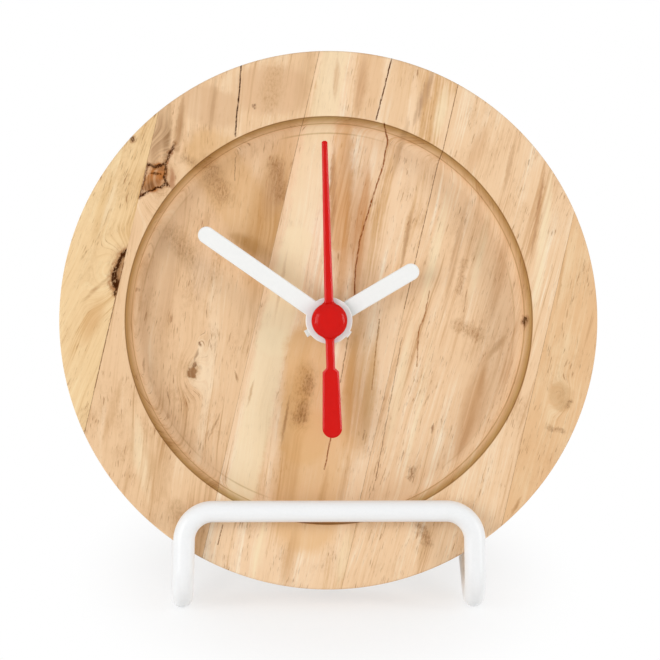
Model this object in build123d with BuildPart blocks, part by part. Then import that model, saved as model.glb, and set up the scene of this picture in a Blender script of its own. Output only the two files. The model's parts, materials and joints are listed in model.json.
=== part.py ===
from build123d import *
import math
import os

# A round wooden table clock that leans in a bent rod stand, with the quartz movement that drives its hands.
# The origin is on the table, under the middle of the stand. The dial faces -Y and leans back.

os.makedirs("parts", exist_ok=True)

# Driving dimensions in millimetres and degrees

# Wooden disc, glued from staves and turned
lean = 14.0
disc_radius = 75.0
disc_thickness = 20.0
rim_round = 0.6
recess_radius = 56.8
recess_depth = 8.0
recess_draft = 1.9
cove_radius = 3.0
web_thickness = 4.0
pocket_gap = 1.5
inner_staves = 3
edge_stave_width = 15.45
stave_shift = 0.3
stave_lean = 13.0

# Stand, one rod with all its bends
rod_radius = 3.0
leg_half_spacing = 40.9
leg_splay = 1.4
bar_drop = 52.9
foot_drop = 80.2
rest_top_drop = -8.0
rear_reach = 60.0
front_gap = 0.3
back_gap = 0.6
seat_gap = 0.3
corner_bend = 8.0
foot_bend = 8.0
seat_bend = 6.0
top_bend = 8.0

# Hands, with their bearings on the dial in degrees clockwise from the top
hand_thickness = 0.7
hand_width = 4.75
hand_edge = 0.2
hub_radius = 6.5
hub_collar = 0.6
tail_width = 2.0
hour_length = 29.0
hour_tail = 7.5
hour_bearing = 59.4
minute_length = 44.0
minute_tail = 7.0
minute_bearing = 304.8
second_length = 50.0
second_tail = 32.7
second_bearing = -1.6
second_thickness = 1.2
second_bevel = 0.35
second_tip_width = 1.6
second_root_width = 2.5
second_stem_width = 2.45
shoulder_start = 13.2
shoulder_end = 14.3
weight_neck_width = 4.6
weight_width = 5.5
cap_radius = 5.0
cap_skirt = 1.2
cap_dome = 2.2
sleeve_wall = 0.45
sleeve_drop = 0.2
hand_gap = 0.5

# Centre bush and what clamps it
bush_radius = 4.0
bush_flange_radius = 5.5
bush_flange = 0.8
thread_spare = 0.5
bush_hole_gap = 0.2
nut_flats = 11.0
nut_height = 2.5
washer_radius = 6.2
washer_thickness = 0.6
rubber_radius = 9.0
rubber_thickness = 1.0

# Concentric arbors, from the inside out
arbor_radius = 0.5
minute_tube_radius = 1.5
minute_neck_radius = 1.2
hour_pipe_radius = 2.4
running_gap = 0.05
push_gap = 0.02

# Movement case and cell
case_wall = 1.2
case_corner = 3.0
cover_thickness = 1.5
battery_radius = 7.25
battery_length = 50.5
battery_nub_radius = 2.7
battery_nub = 1.0
battery_gap = 0.3
contact_space = 1.55
contact_thickness = 0.4
contact_width = 9.0
contact_depth = 11.0
tray_gap = 2.71

# Gear train: teeth, arms between the axes and their bearings, counted anticlockwise from +X
wheel_thickness = 0.9
level_gap = 0.65
rotor_teeth = 8
fifth_teeth = 60
fifth_pinion_teeth = 15
second_teeth = 60
second_pinion_teeth = 8
third_teeth = 60
third_pinion_teeth = 8
centre_teeth = 64
cannon_teeth = 10
motion_teeth = 30
motion_pinion_teeth = 10
hour_teeth = 40
third_arm = 8.5
third_direction = 0.0
fifth_arm = 9.5
fifth_direction = 100.0
rotor_arm = 8.5
rotor_direction = 20.0
motion_arm = 7.5
motion_direction = 180.0
setting_turn = 120.0
pivot_depth = 0.6
end_play = 0.1
motion_post_radius = 0.7

# Tooth form, as shares of the module and of the tooth pitch
addendum_share = 0.75
dedendum_share = 1.0
tip_width_share = 0.16
root_width_share = 0.48

# Stepping motor
magnet_radius = 3.0
magnet_height = 2.5
air_gap = 0.5
stator_thickness = 0.8
stator_lug = 1.7
stator_arm_width = 3.0
stator_bar_width = 4.0
stator_bar_gap = 0.6
core_width = 2.8
coil_gap = 1.24
bobbin_length = 20.0
bobbin_flange = 1.0
bobbin_flange_radius = 3.5
bobbin_gap = 1.1
bobbin_end_gap = 0.5
bobbin_wall = 0.6
winding_radius = 3.1
core_gap = 0.1
pillar_radius = 1.2

# Circuit board
board_width = 8.0
board_length = 26.0
board_thickness = 0.8
board_side_gap = 0.6
board_stand = 1.8
crystal_radius = 1.0
crystal_length = 6.0
crystal_gap = 0.05
chip_radius = 2.6
chip_height = 0.9
chip_round = 0.4
board_post_radius = 1.2

# Setting knob
knob_radius = 5.0
knob_height = 2.5
knob_gap = 0.3
knob_shaft_radius = 1.3
knob_flutes = 12
knob_flute_radius = 0.7

overrun = 1.0

# Derived sizes
stave_width = 2 * (disc_radius - edge_stave_width) / inner_staves
wheel_pitch = wheel_thickness + level_gap
case_depth = case_wall + battery_gap + 2 * battery_radius
case_height = case_depth - cover_thickness
case_inner = battery_length + 2 * contact_space
case_width = case_inner + 2 * case_wall
tray_width = 2 * (battery_radius + battery_gap)
battery_axis_depth = case_wall + battery_gap + battery_radius
movement_front = recess_depth + web_thickness + rubber_thickness
bush_hole_radius = bush_radius + bush_hole_gap
hour_bore = minute_tube_radius + running_gap
tube_bore = arbor_radius + running_gap
bush_bore = hour_pipe_radius + running_gap
pivot_radius = arbor_radius + running_gap

# Heights in front of the rim plane, from the dial floor up through the hands
floor = -recess_depth
washer_top = floor + washer_thickness
nut_top = washer_top + nut_height
bush_top = nut_top + thread_spare
hour_hand_base = bush_top + hand_gap + hub_collar
hour_hand_top = hour_hand_base + hand_thickness
minute_hand_base = hour_hand_top + hand_gap + hub_collar
minute_hand_top = minute_hand_base + hand_thickness
second_hand_base = minute_hand_top + hand_gap
sleeve_top = second_hand_base + second_thickness
cap_top = second_hand_base + cap_skirt + cap_dome

# Depths behind the front of the movement case
hour_level = case_wall + bush_flange + level_gap
cannon_level = hour_level + wheel_pitch
centre_level = cannon_level + wheel_pitch
third_level = centre_level + wheel_pitch
second_level = third_level + wheel_pitch
fifth_level = second_level + wheel_pitch
arbor_front = case_wall - pivot_depth + end_play
arbor_back = case_height + pivot_depth - end_play
stator_level = third_level + wheel_thickness + level_gap / 2

# Modules follow from the arms, so that each pair meshes at its own distance
rotor_module = 2 * rotor_arm / (rotor_teeth + fifth_teeth)
fifth_module = 2 * fifth_arm / (fifth_pinion_teeth + second_teeth)
third_module = 2 * third_arm / (second_pinion_teeth + third_teeth)
centre_module = 2 * third_arm / (third_pinion_teeth + centre_teeth)
cannon_module = 2 * motion_arm / (cannon_teeth + motion_teeth)
hour_module = 2 * motion_arm / (motion_pinion_teeth + hour_teeth)

# The dial frame: X to the right, Y up the dial, Z out of it towards the viewer
lean_sine = math.sin(math.radians(lean))
lean_cosine = math.cos(math.radians(lean))
dial_up = Vector(0, lean_sine, lean_cosine)
dial_out = Vector(0, -lean_cosine, lean_sine)

# The foot bends touch the table, and the disc stands where the legs and the bar meet it
foot_centre_out = front_gap + rod_radius - foot_bend
foot_centre_up = foot_bend + rod_radius - foot_drop
foot_centre_y = (foot_bend - rear_reach) / 2
foot_centre = Vector(0, foot_centre_y, foot_bend + rod_radius)
disc_centre = foot_centre - dial_out * foot_centre_out - dial_up * foot_centre_up
dial = Plane(origin=disc_centre, x_dir=(1, 0, 0), z_dir=dial_out)
dial_axis = Axis(disc_centre, dial_out)
axial = Plane(origin=disc_centre, x_dir=(1, 0, 0), z_dir=-dial_up)


def layer(depth):
    """The plane at a depth behind the front of the movement case, facing the viewer."""
    return dial.offset(-(movement_front + depth))


def across(right, up, depth):
    """A plane square to X in the movement, with its X up the dial and its Y towards the viewer."""
    origin = dial.from_local_coords((right, up, -(movement_front + depth)))
    return Plane(origin=origin, x_dir=dial_up, z_dir=(1, 0, 0))


def hand_plane(height, bearing):
    """The plane of a hand, with its Y along the hand."""
    angle = math.radians(bearing)
    hand_right = Vector(math.cos(angle), 0, 0) - dial_up * math.sin(angle)
    return Plane(origin=disc_centre + dial_out * height, x_dir=hand_right, z_dir=dial_out)


def polar(radius, direction):
    """A place on the dial from its distance and direction."""
    angle = math.radians(direction)
    return Vector(radius * math.cos(angle), radius * math.sin(angle))


def toothed_face(depth, centre, teeth, module, tooth_direction):
    """A toothed outline with one tooth in the given direction."""
    tip_radius = (teeth / 2 + addendum_share) * module
    root_radius = (teeth / 2 - dedendum_share) * module
    corners = (
        (-root_width_share / 2, root_radius),
        (-tip_width_share / 2, tip_radius),
        (tip_width_share / 2, tip_radius),
        (root_width_share / 2, root_radius),
    )
    pitch_angle = 360 / teeth
    points = []
    for tooth in range(teeth):
        for pitch_share, radius in corners:
            points.append(centre + polar(radius, tooth_direction + (tooth + pitch_share) * pitch_angle))
    with BuildSketch(layer(depth)) as face:
        with BuildLine():
            Polyline(*points, close=True)
        make_face()
    return face.sketch


def gap_beside(direction, teeth):
    """The direction of a tooth that leaves a gap in the given direction."""
    return direction + 180 / teeth


def arbor_wheel(centre, front, back, radius, faces):
    """An arbor with the toothed faces that it carries."""
    with BuildPart() as wheel:
        with BuildSketch(layer(front)):
            with Locations(centre):
                Circle(radius)
        extrude(amount=front - back)
        for face in faces:
            extrude(face, amount=-wheel_thickness)
    return wheel


# Where the axes of the train stand, seen from the front
centre_at = Vector(0, 0)
third_at = polar(third_arm, third_direction)
fifth_at = polar(fifth_arm, fifth_direction)
rotor_at = fifth_at + polar(rotor_arm, rotor_direction)
motion_at = polar(motion_arm, motion_direction)
setting_direction = motion_direction + 180 + setting_turn
setting_at = motion_at + polar(motion_arm, setting_direction)

# The coil stands above the stator's eye, the cell tray lies below the wheels, and the case goes round both
stator_half_length = bobbin_length / 2 + bobbin_end_gap + stator_arm_width
stator_eye = magnet_radius + air_gap
core_height = rotor_at.Y + stator_eye + stator_lug + coil_gap + bobbin_flange_radius
second_wheel_radius = (second_teeth / 2 + addendum_share) * fifth_module
tray_top = -(second_wheel_radius + tray_gap + case_wall)
battery_axis_height = tray_top - tray_width / 2
inner_top = core_height + bobbin_flange_radius + bobbin_gap
inner_bottom = tray_top - tray_width
case_inner_tall = inner_top - inner_bottom
case_tall = case_inner_tall + 2 * case_wall
case_middle = Vector(0, (inner_top + inner_bottom) / 2)
case_far = max(inner_top, -inner_bottom) + case_wall
corner_reach = math.hypot(case_width / 2 - case_corner, case_far - case_corner) + case_corner
pocket_radius = corner_reach + pocket_gap

# Wooden disc, turned in one piece after gluing
floor_radius = recess_radius - recess_draft - cove_radius
wall_foot = floor + cove_radius
pocket_floor = floor - web_thickness
with BuildPart() as disc:
    with BuildSketch(axial):
        with BuildLine():
            Line((bush_hole_radius, floor), (floor_radius, floor))
            CenterArc((floor_radius, wall_foot), cove_radius, 270, 90)
            Polyline(
                (floor_radius + cove_radius, wall_foot),
                (recess_radius, 0),
                (disc_radius, 0),
                (disc_radius, -disc_thickness),
                (pocket_radius, -disc_thickness),
                (pocket_radius, pocket_floor),
                (bush_hole_radius, pocket_floor),
                (bush_hole_radius, floor),
            )
        make_face()
    revolve(axis=dial_axis)
    outer_face = disc.faces().filter_by(GeomType.CYLINDER).sort_by(SortBy.AREA)[-1]
    fillet(outer_face.edges().filter_by(GeomType.CIRCLE), radius=rim_round)

# The glue joints are planes square to the dial, leaning with the staves
joint_angle = math.radians(stave_lean)
joint_across = Vector(math.cos(joint_angle), 0, 0) - dial_up * math.sin(joint_angle)
joints = []
for joint in range(inner_staves + 1):
    joint_place = stave_shift + (joint - inner_staves / 2) * stave_width
    joints.append(Plane(origin=disc_centre + joint_across * joint_place, z_dir=joint_across))


def stave(left_joint, right_joint):
    """The part of the disc between two glue joints, where None is the edge of the disc."""
    with BuildPart() as piece:
        add(disc.part)
        if left_joint is not None:
            split(bisect_by=left_joint, keep=Keep.TOP)
        if right_joint is not None:
            split(bisect_by=right_joint, keep=Keep.BOTTOM)
    return piece


stave_far_left = stave(None, joints[0])
stave_left = stave(joints[0], joints[1])
stave_middle = stave(joints[1], joints[2])
stave_right = stave(joints[2], joints[3])
stave_far_right = stave(joints[3], None)

# Stand: front bar, leg, foot, seat under the disc's back edge, back rest, rear leg and rear bar
seat_flank_share = leg_half_spacing / disc_radius
seat_edge_right = leg_half_spacing - rod_radius * seat_flank_share
seat_edge_drop = math.sqrt(disc_radius ** 2 - seat_edge_right ** 2)
seat_edge = disc_centre - dial_out * disc_thickness - dial_up * seat_edge_drop
foot_to_seat = seat_edge - foot_centre
seat_rise = math.atan2(foot_to_seat.Z, foot_to_seat.Y)
seat_rise += math.asin((foot_bend - rod_radius - seat_gap) / foot_to_seat.length)
seat_along = Vector(0, math.cos(seat_rise), math.sin(seat_rise))
seat_normal = Vector(0, -math.sin(seat_rise), math.cos(seat_rise))
seat_start = foot_centre - seat_normal * foot_bend

leg_out = front_gap + rod_radius
rest_out = -(disc_thickness + back_gap + rod_radius)


def where_seat_meets(out):
    """The point of the seat line at a distance out from the rim plane."""
    start_out = (seat_start - disc_centre).dot(dial_out)
    return seat_start + seat_along * ((out - start_out) / seat_along.dot(dial_out))


bar_right = leg_half_spacing - (foot_drop - bar_drop) * math.tan(math.radians(leg_splay))
to_leg = Vector(leg_half_spacing, 0, 0)
bar_middle = disc_centre + dial_out * leg_out - dial_up * bar_drop
rest_top = disc_centre + dial_out * rest_out - dial_up * rest_top_drop
rear_middle = Vector(0, foot_centre_y + rear_reach, rod_radius)
route = (
    bar_middle,
    bar_middle + Vector(bar_right, 0, 0),
    where_seat_meets(leg_out) + to_leg,
    where_seat_meets(rest_out) + to_leg,
    rest_top + to_leg,
    rear_middle + to_leg,
    rear_middle,
)
with BuildPart() as stand:
    with BuildLine() as half_route:
        FilletPolyline(*route, radius=(corner_bend, foot_bend, seat_bend, top_bend, corner_bend))
    with BuildSketch(Plane(origin=bar_middle, z_dir=(1, 0, 0))):
        Circle(rod_radius)
    sweep()
    mirror(about=Plane.YZ)

# White sheet hands with a round tip, pushed on their tubes by a collar


def sheet_hand(base, bearing, length, tail, tube_radius):
    """A parallel hand with a round tip, a round hub with a nub as its tail, and a collar under the hub."""
    half_width = hand_width / 2
    tip_centre = length - half_width
    hub_angle = math.degrees(math.asin(half_width / hub_radius))
    hub_up = math.sqrt(hub_radius ** 2 - half_width ** 2)
    half_tail = tail_width / 2
    tail_angle = math.degrees(math.asin(half_tail / hub_radius))
    tail_up = math.sqrt(hub_radius ** 2 - half_tail ** 2)
    with BuildPart() as hand:
        with BuildSketch(hand_plane(base, bearing)):
            with BuildLine():
                CenterArc((0, tip_centre), half_width, 90, -90)
                Line((half_width, tip_centre), (half_width, hub_up))
                CenterArc((0, 0), hub_radius, 90 - hub_angle, hub_angle + tail_angle - 180)
                Polyline((half_tail, -tail_up), (half_tail, -tail), (0, -tail))
                mirror(about=Plane.YZ)
            make_face()
        extrude(amount=hand_thickness)
        top_face = hand.faces().sort_by(dial_axis)[-1]
        chamfer(top_face.edges(), length=hand_edge)
        with BuildSketch(hand_plane(base, bearing)):
            Circle(tube_radius + 2 * hub_collar)
        extrude(amount=-hub_collar)
        with BuildSketch(hand_plane(base - hub_collar, bearing)):
            Circle(tube_radius + push_gap)
        extrude(amount=hub_collar + hand_thickness, mode=Mode.SUBTRACT)
    return hand


hour_hand = sheet_hand(hour_hand_base, hour_bearing, hour_length, hour_tail, hour_pipe_radius)
minute_hand = sheet_hand(minute_hand_base, minute_bearing, minute_length, minute_tail, minute_tube_radius)

# Red moulded second hand: bevelled blade, stem and counterweight under a domed cap
weight_end = second_tail - weight_width / 2
sleeve_radius = arbor_radius + push_gap + sleeve_wall
with BuildPart() as second_hand:
    with BuildSketch(hand_plane(second_hand_base, second_bearing)):
        with BuildLine():
            Polyline(
                (0, second_length),
                (second_tip_width / 2, second_length - second_tip_width / 2),
                (second_root_width / 2, 0),
                (second_stem_width / 2, 0),
                (second_stem_width / 2, -shoulder_start),
                (weight_neck_width / 2, -shoulder_end),
                (weight_width / 2, -weight_end),
            )
            CenterArc((0, -weight_end), weight_width / 2, 0, -90)
            mirror(about=Plane.YZ)
        make_face()
    extrude(amount=second_thickness)
    blade_top = second_hand.faces().sort_by(dial_axis)[-1]
    chamfer(blade_top.edges(), length=second_bevel)
    with BuildSketch(axial):
        with BuildLine():
            Polyline(
                (0, cap_top),
                (0, second_hand_base),
                (cap_radius, second_hand_base),
                (cap_radius, second_hand_base + cap_skirt),
            )
            dome_foot = (0, second_hand_base + cap_skirt)
            EllipticalCenterArc(dome_foot, cap_radius, cap_dome, start_angle=0, arc_size=90)
        make_face()
    revolve(axis=dial_axis)
    with BuildSketch(dial.offset(second_hand_base)):
        Circle(sleeve_radius + push_gap)
    extrude(amount=second_thickness, mode=Mode.SUBTRACT)

with BuildPart() as second_sleeve:
    with BuildSketch(dial.offset(second_hand_base - sleeve_drop)):
        Circle(sleeve_radius)
        Circle(arbor_radius + push_gap, mode=Mode.SUBTRACT)
    extrude(amount=second_thickness + sleeve_drop - end_play)

# Centre bush, and the nut and washers that clamp the wooden web to the movement
with BuildPart() as centre_bush:
    with BuildSketch(dial.offset(bush_top)):
        Circle(bush_radius)
    extrude(amount=-(bush_top + movement_front + case_wall))
    with BuildSketch(layer(case_wall)):
        Circle(bush_flange_radius)
    extrude(amount=-bush_flange)
    with BuildSketch(dial.offset(bush_top)):
        Circle(bush_bore)
    extrude(amount=-(bush_top + movement_front + case_wall + bush_flange), mode=Mode.SUBTRACT)

with BuildPart() as hex_nut:
    with BuildSketch(dial.offset(washer_top)):
        RegularPolygon(nut_flats / 2, side_count=6, major_radius=False)
        Circle(bush_radius + running_gap, mode=Mode.SUBTRACT)
    extrude(amount=nut_height)

with BuildPart() as dial_washer:
    with BuildSketch(dial.offset(floor)):
        Circle(washer_radius)
        Circle(bush_hole_radius, mode=Mode.SUBTRACT)
    extrude(amount=washer_thickness)

with BuildPart() as rubber_washer:
    with BuildSketch(dial.offset(pocket_floor)):
        Circle(rubber_radius)
        Circle(bush_radius + running_gap, mode=Mode.SUBTRACT)
    extrude(amount=-rubber_thickness)

# Front case: a shell with a cell tray, pivot holes, a post for the motion wheel and pillars
core_at = Vector(stator_half_length - stator_arm_width / 2, core_height)
board_right = case_inner / 2 - board_side_gap - board_width / 2
board_up = tray_top + case_wall + board_side_gap + board_length / 2
board_at = Vector(board_right, board_up)
board_post_rise = board_length / 3
motion_post_top = cannon_level + wheel_thickness + level_gap / 3
with BuildPart() as front_case:
    with BuildSketch(layer(0)):
        with Locations(case_middle):
            RectangleRounded(case_width, case_tall, case_corner)
    extrude(amount=-case_height)
    with BuildSketch(layer(case_wall)):
        with Locations(case_middle):
            RectangleRounded(case_inner, case_inner_tall, case_corner - case_wall)
    extrude(amount=case_wall - case_height, mode=Mode.SUBTRACT)
    with BuildSketch(layer(case_wall)):
        with Locations((0, tray_top + case_wall / 2)):
            Rectangle(case_inner, case_wall)
    extrude(amount=case_wall - case_height)
    with BuildSketch(layer(case_wall)):
        with Locations(motion_at):
            Circle(motion_post_radius)
    extrude(amount=case_wall - motion_post_top)
    with BuildSketch(layer(case_wall)):
        with Locations(core_at, (-core_at.X, core_at.Y)):
            Circle(pillar_radius)
    extrude(amount=case_wall - stator_level)
    with BuildSketch(layer(case_wall)):
        with Locations(board_at + Vector(0, board_post_rise), board_at - Vector(0, board_post_rise)):
            Circle(board_post_radius)
    extrude(amount=-board_stand)
    with BuildSketch(layer(case_wall)):
        with Locations(third_at, fifth_at, rotor_at, setting_at):
            Circle(pivot_radius)
    extrude(amount=pivot_depth, mode=Mode.SUBTRACT)
    with BuildSketch(layer(0)):
        Circle(bush_radius + running_gap)
    extrude(amount=-case_wall, mode=Mode.SUBTRACT)

with BuildPart() as rear_cover:
    with BuildSketch(layer(case_height)):
        with Locations(case_middle):
            RectangleRounded(case_width, case_tall, case_corner)
        with Locations((0, tray_top - case_tall / 2)):
            Rectangle(case_width + overrun, case_tall, mode=Mode.SUBTRACT)
        with Locations(setting_at):
            Circle(knob_shaft_radius + running_gap, mode=Mode.SUBTRACT)
    extrude(amount=-cover_thickness)
    with BuildSketch(layer(case_height)):
        with Locations(centre_at, third_at, fifth_at, rotor_at):
            Circle(pivot_radius)
    extrude(amount=-pivot_depth, mode=Mode.SUBTRACT)

# Cell and its leaf contacts, which bow from the tray's end walls towards the cell
battery_start = contact_space - case_inner / 2
nub_start = battery_start + battery_length - battery_nub
with BuildPart() as battery:
    with BuildSketch(across(battery_start, battery_axis_height, battery_axis_depth)):
        Circle(battery_radius)
    extrude(amount=battery_length - battery_nub)
    with BuildSketch(across(nub_start, battery_axis_height, battery_axis_depth)):
        Circle(battery_nub_radius)
    extrude(amount=battery_nub)


def leaf_contact(side):
    """A strip against an end wall of the tray, with a tongue bowed towards the cell."""
    wall_right = side * case_inner / 2
    tongue_right = side * (case_inner / 2 - contact_space + battery_gap)
    strip_inner = wall_right - side * contact_thickness
    half_width = contact_width / 2
    tongue_half = half_width / 2
    with BuildPart() as contact:
        with BuildSketch(layer(battery_axis_depth - contact_depth / 2)):
            with BuildLine():
                Polyline(
                    (wall_right, battery_axis_height - half_width),
                    (wall_right, battery_axis_height + half_width),
                    (strip_inner, battery_axis_height + half_width),
                    (tongue_right, battery_axis_height + tongue_half),
                    (tongue_right, battery_axis_height),
                    (tongue_right + side * contact_thickness, battery_axis_height),
                    (strip_inner, battery_axis_height + tongue_half),
                    (strip_inner, battery_axis_height - half_width),
                    close=True,
                )
            make_face()
        extrude(amount=-contact_depth)
    return contact


positive_contact = leaf_contact(1)
negative_contact = leaf_contact(-1)

# Circuit board with its crystal can and its chip under a resin drop
board_face = case_wall + board_stand + board_thickness
with BuildPart() as circuit_board:
    with BuildSketch(layer(case_wall + board_stand)):
        with Locations(board_at):
            Rectangle(board_width, board_length)
    extrude(amount=-board_thickness)

crystal_up = board_up + board_length / 4
crystal_depth = board_face + crystal_gap + crystal_radius
with BuildPart() as quartz_crystal:
    with BuildSketch(across(board_right - crystal_length / 2, crystal_up, crystal_depth)):
        Circle(crystal_radius)
    extrude(amount=crystal_length)

with BuildPart() as control_chip:
    with BuildSketch(layer(board_face)):
        with Locations(board_at - Vector(0, board_length / 4)):
            Circle(chip_radius)
    extrude(amount=-chip_height)
    chip_top = control_chip.faces().sort_by(dial_axis)[0]
    fillet(chip_top.edges(), radius=chip_round)

# Stepping motor: stator, core, bobbin and winding stay still, and the rotor turns in the stator's eye
stator_bar_foot = fifth_at.Y + (fifth_pinion_teeth / 2 + addendum_share) * fifth_module + stator_bar_gap
stator_arm_top = core_height - core_width / 2
arm_right = stator_half_length - stator_arm_width / 2
arm_up = (stator_bar_foot + stator_arm_top) / 2
with BuildPart() as stator:
    with BuildSketch(layer(stator_level)):
        with Locations((0, stator_bar_foot + stator_bar_width / 2)):
            Rectangle(2 * stator_half_length, stator_bar_width)
        with Locations((arm_right, arm_up), (-arm_right, arm_up)):
            Rectangle(stator_arm_width, stator_arm_top - stator_bar_foot)
        with Locations(rotor_at):
            Circle(stator_eye + stator_lug)
            Circle(stator_eye, mode=Mode.SUBTRACT)
    extrude(amount=-stator_thickness)

core_axis_depth = stator_level + stator_thickness / 2
with BuildPart() as coil_core:
    with BuildSketch(layer(stator_level)):
        with Locations((0, core_height)):
            Rectangle(2 * stator_half_length, core_width)
    extrude(amount=-stator_thickness)

bobbin_barrel_radius = math.hypot(core_width / 2, stator_thickness / 2) + core_gap + bobbin_wall
with BuildPart() as coil_bobbin:
    with BuildSketch(across(-bobbin_length / 2, core_height, core_axis_depth)):
        Circle(bobbin_barrel_radius)
    extrude(amount=bobbin_length)
    with BuildSketch(across(-bobbin_length / 2, core_height, core_axis_depth)):
        Circle(bobbin_flange_radius)
    extrude(amount=bobbin_flange)
    with BuildSketch(across(bobbin_length / 2 - bobbin_flange, core_height, core_axis_depth)):
        Circle(bobbin_flange_radius)
    extrude(amount=bobbin_flange)
    with BuildSketch(across(-bobbin_length / 2, core_height, core_axis_depth)):
        Rectangle(core_width + 2 * core_gap, stator_thickness + 2 * core_gap)
    extrude(amount=bobbin_length, mode=Mode.SUBTRACT)

with BuildPart() as coil_winding:
    with BuildSketch(across(bobbin_flange - bobbin_length / 2, core_height, core_axis_depth)):
        Circle(winding_radius)
        Circle(bobbin_barrel_radius, mode=Mode.SUBTRACT)
    extrude(amount=bobbin_length - 2 * bobbin_flange)

rotor_pinion = toothed_face(fifth_level, rotor_at, rotor_teeth, rotor_module, rotor_direction + 180)
magnet_front = core_axis_depth - magnet_height / 2
with BuildPart() as rotor:
    with BuildSketch(layer(arbor_front)):
        with Locations(rotor_at):
            Circle(arbor_radius)
    extrude(amount=arbor_front - arbor_back)
    extrude(rotor_pinion, amount=-wheel_thickness)
    with BuildSketch(layer(magnet_front)):
        with Locations(rotor_at):
            Circle(magnet_radius)
    extrude(amount=-magnet_height)

# Going train, from the rotor to the centre wheel
fifth_wheel = arbor_wheel(fifth_at, arbor_front, arbor_back, arbor_radius, (
    toothed_face(fifth_level, fifth_at, fifth_teeth, rotor_module, gap_beside(rotor_direction, fifth_teeth)),
    toothed_face(second_level, fifth_at, fifth_pinion_teeth, fifth_module, fifth_direction + 180),
))
second_arbor_front = -(movement_front + sleeve_top - end_play)
second_tooth = gap_beside(fifth_direction, second_teeth)
second_wheel = arbor_wheel(centre_at, second_arbor_front, arbor_back, arbor_radius, (
    toothed_face(second_level, centre_at, second_teeth, fifth_module, second_tooth),
    toothed_face(third_level, centre_at, second_pinion_teeth, third_module, third_direction),
))
third_tooth = gap_beside(third_direction + 180, third_teeth)
third_wheel = arbor_wheel(third_at, arbor_front, arbor_back, arbor_radius, (
    toothed_face(third_level, third_at, third_teeth, third_module, third_tooth),
    toothed_face(centre_level, third_at, third_pinion_teeth, centre_module, third_direction + 180),
))
centre_tooth = gap_beside(third_direction, centre_teeth)
centre_ring = toothed_face(centre_level, centre_at, centre_teeth, centre_module, centre_tooth)
with BuildPart() as centre_wheel:
    extrude(centre_ring, amount=-wheel_thickness)
    with BuildSketch(layer(centre_level)):
        Circle(minute_neck_radius + running_gap)
    extrude(amount=-wheel_thickness, mode=Mode.SUBTRACT)

# Motion work: the minute tube drives the motion wheel, and that drives the hour wheel
cannon_pinion = toothed_face(cannon_level, centre_at, cannon_teeth, cannon_module, motion_direction)
minute_tube_front = -(movement_front + minute_hand_top)
neck_back = centre_level + wheel_thickness + level_gap / 3
with BuildPart() as minute_tube:
    with BuildSketch(layer(minute_tube_front)):
        Circle(minute_tube_radius)
    extrude(amount=minute_tube_front - cannon_level)
    extrude(cannon_pinion, amount=-wheel_thickness)
    with BuildSketch(layer(cannon_level)):
        Circle(minute_neck_radius)
    extrude(amount=cannon_level - neck_back)
    with BuildSketch(layer(minute_tube_front)):
        Circle(tube_bore)
    extrude(amount=minute_tube_front - neck_back, mode=Mode.SUBTRACT)

motion_tooth = gap_beside(motion_direction + 180, motion_teeth)
motion_ring = toothed_face(cannon_level, motion_at, motion_teeth, cannon_module, motion_tooth)
motion_pinion = toothed_face(hour_level, motion_at, motion_pinion_teeth, hour_module, motion_direction + 180)
with BuildPart() as motion_wheel:
    extrude(motion_ring, amount=-wheel_thickness)
    extrude(motion_pinion, amount=-wheel_pitch)
    with BuildSketch(layer(hour_level)):
        with Locations(motion_at):
            Circle(motion_post_radius + running_gap)
    extrude(amount=-(wheel_pitch + wheel_thickness), mode=Mode.SUBTRACT)

hour_tooth = gap_beside(motion_direction, hour_teeth)
hour_ring = toothed_face(hour_level, centre_at, hour_teeth, hour_module, hour_tooth)
hour_pipe_front = -(movement_front + hour_hand_top)
with BuildPart() as hour_wheel:
    with BuildSketch(layer(hour_pipe_front)):
        Circle(hour_pipe_radius)
    extrude(amount=hour_pipe_front - hour_level)
    extrude(hour_ring, amount=-wheel_thickness)
    with BuildSketch(layer(hour_pipe_front)):
        Circle(hour_bore)
    extrude(amount=hour_pipe_front - hour_level - wheel_thickness, mode=Mode.SUBTRACT)

# Setting knob: a pinion in mesh with the motion wheel, a shaft through the cover and a fluted knob
setting_pinion = toothed_face(cannon_level, setting_at, cannon_teeth, cannon_module, setting_direction + 180)
with BuildPart() as setting_knob:
    with BuildSketch(layer(arbor_front)):
        with Locations(setting_at):
            Circle(arbor_radius)
    extrude(amount=arbor_front - cannon_level)
    extrude(setting_pinion, amount=-wheel_thickness)
    with BuildSketch(layer(cannon_level + wheel_thickness)):
        with Locations(setting_at):
            Circle(knob_shaft_radius)
    extrude(amount=cannon_level + wheel_thickness - case_depth - knob_gap)
    with BuildSketch(layer(case_depth + knob_gap)):
        with Locations(setting_at):
            Circle(knob_radius)
            with PolarLocations(knob_radius, knob_flutes):
                Circle(knob_flute_radius, mode=Mode.SUBTRACT)
    extrude(amount=-knob_height)

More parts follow.
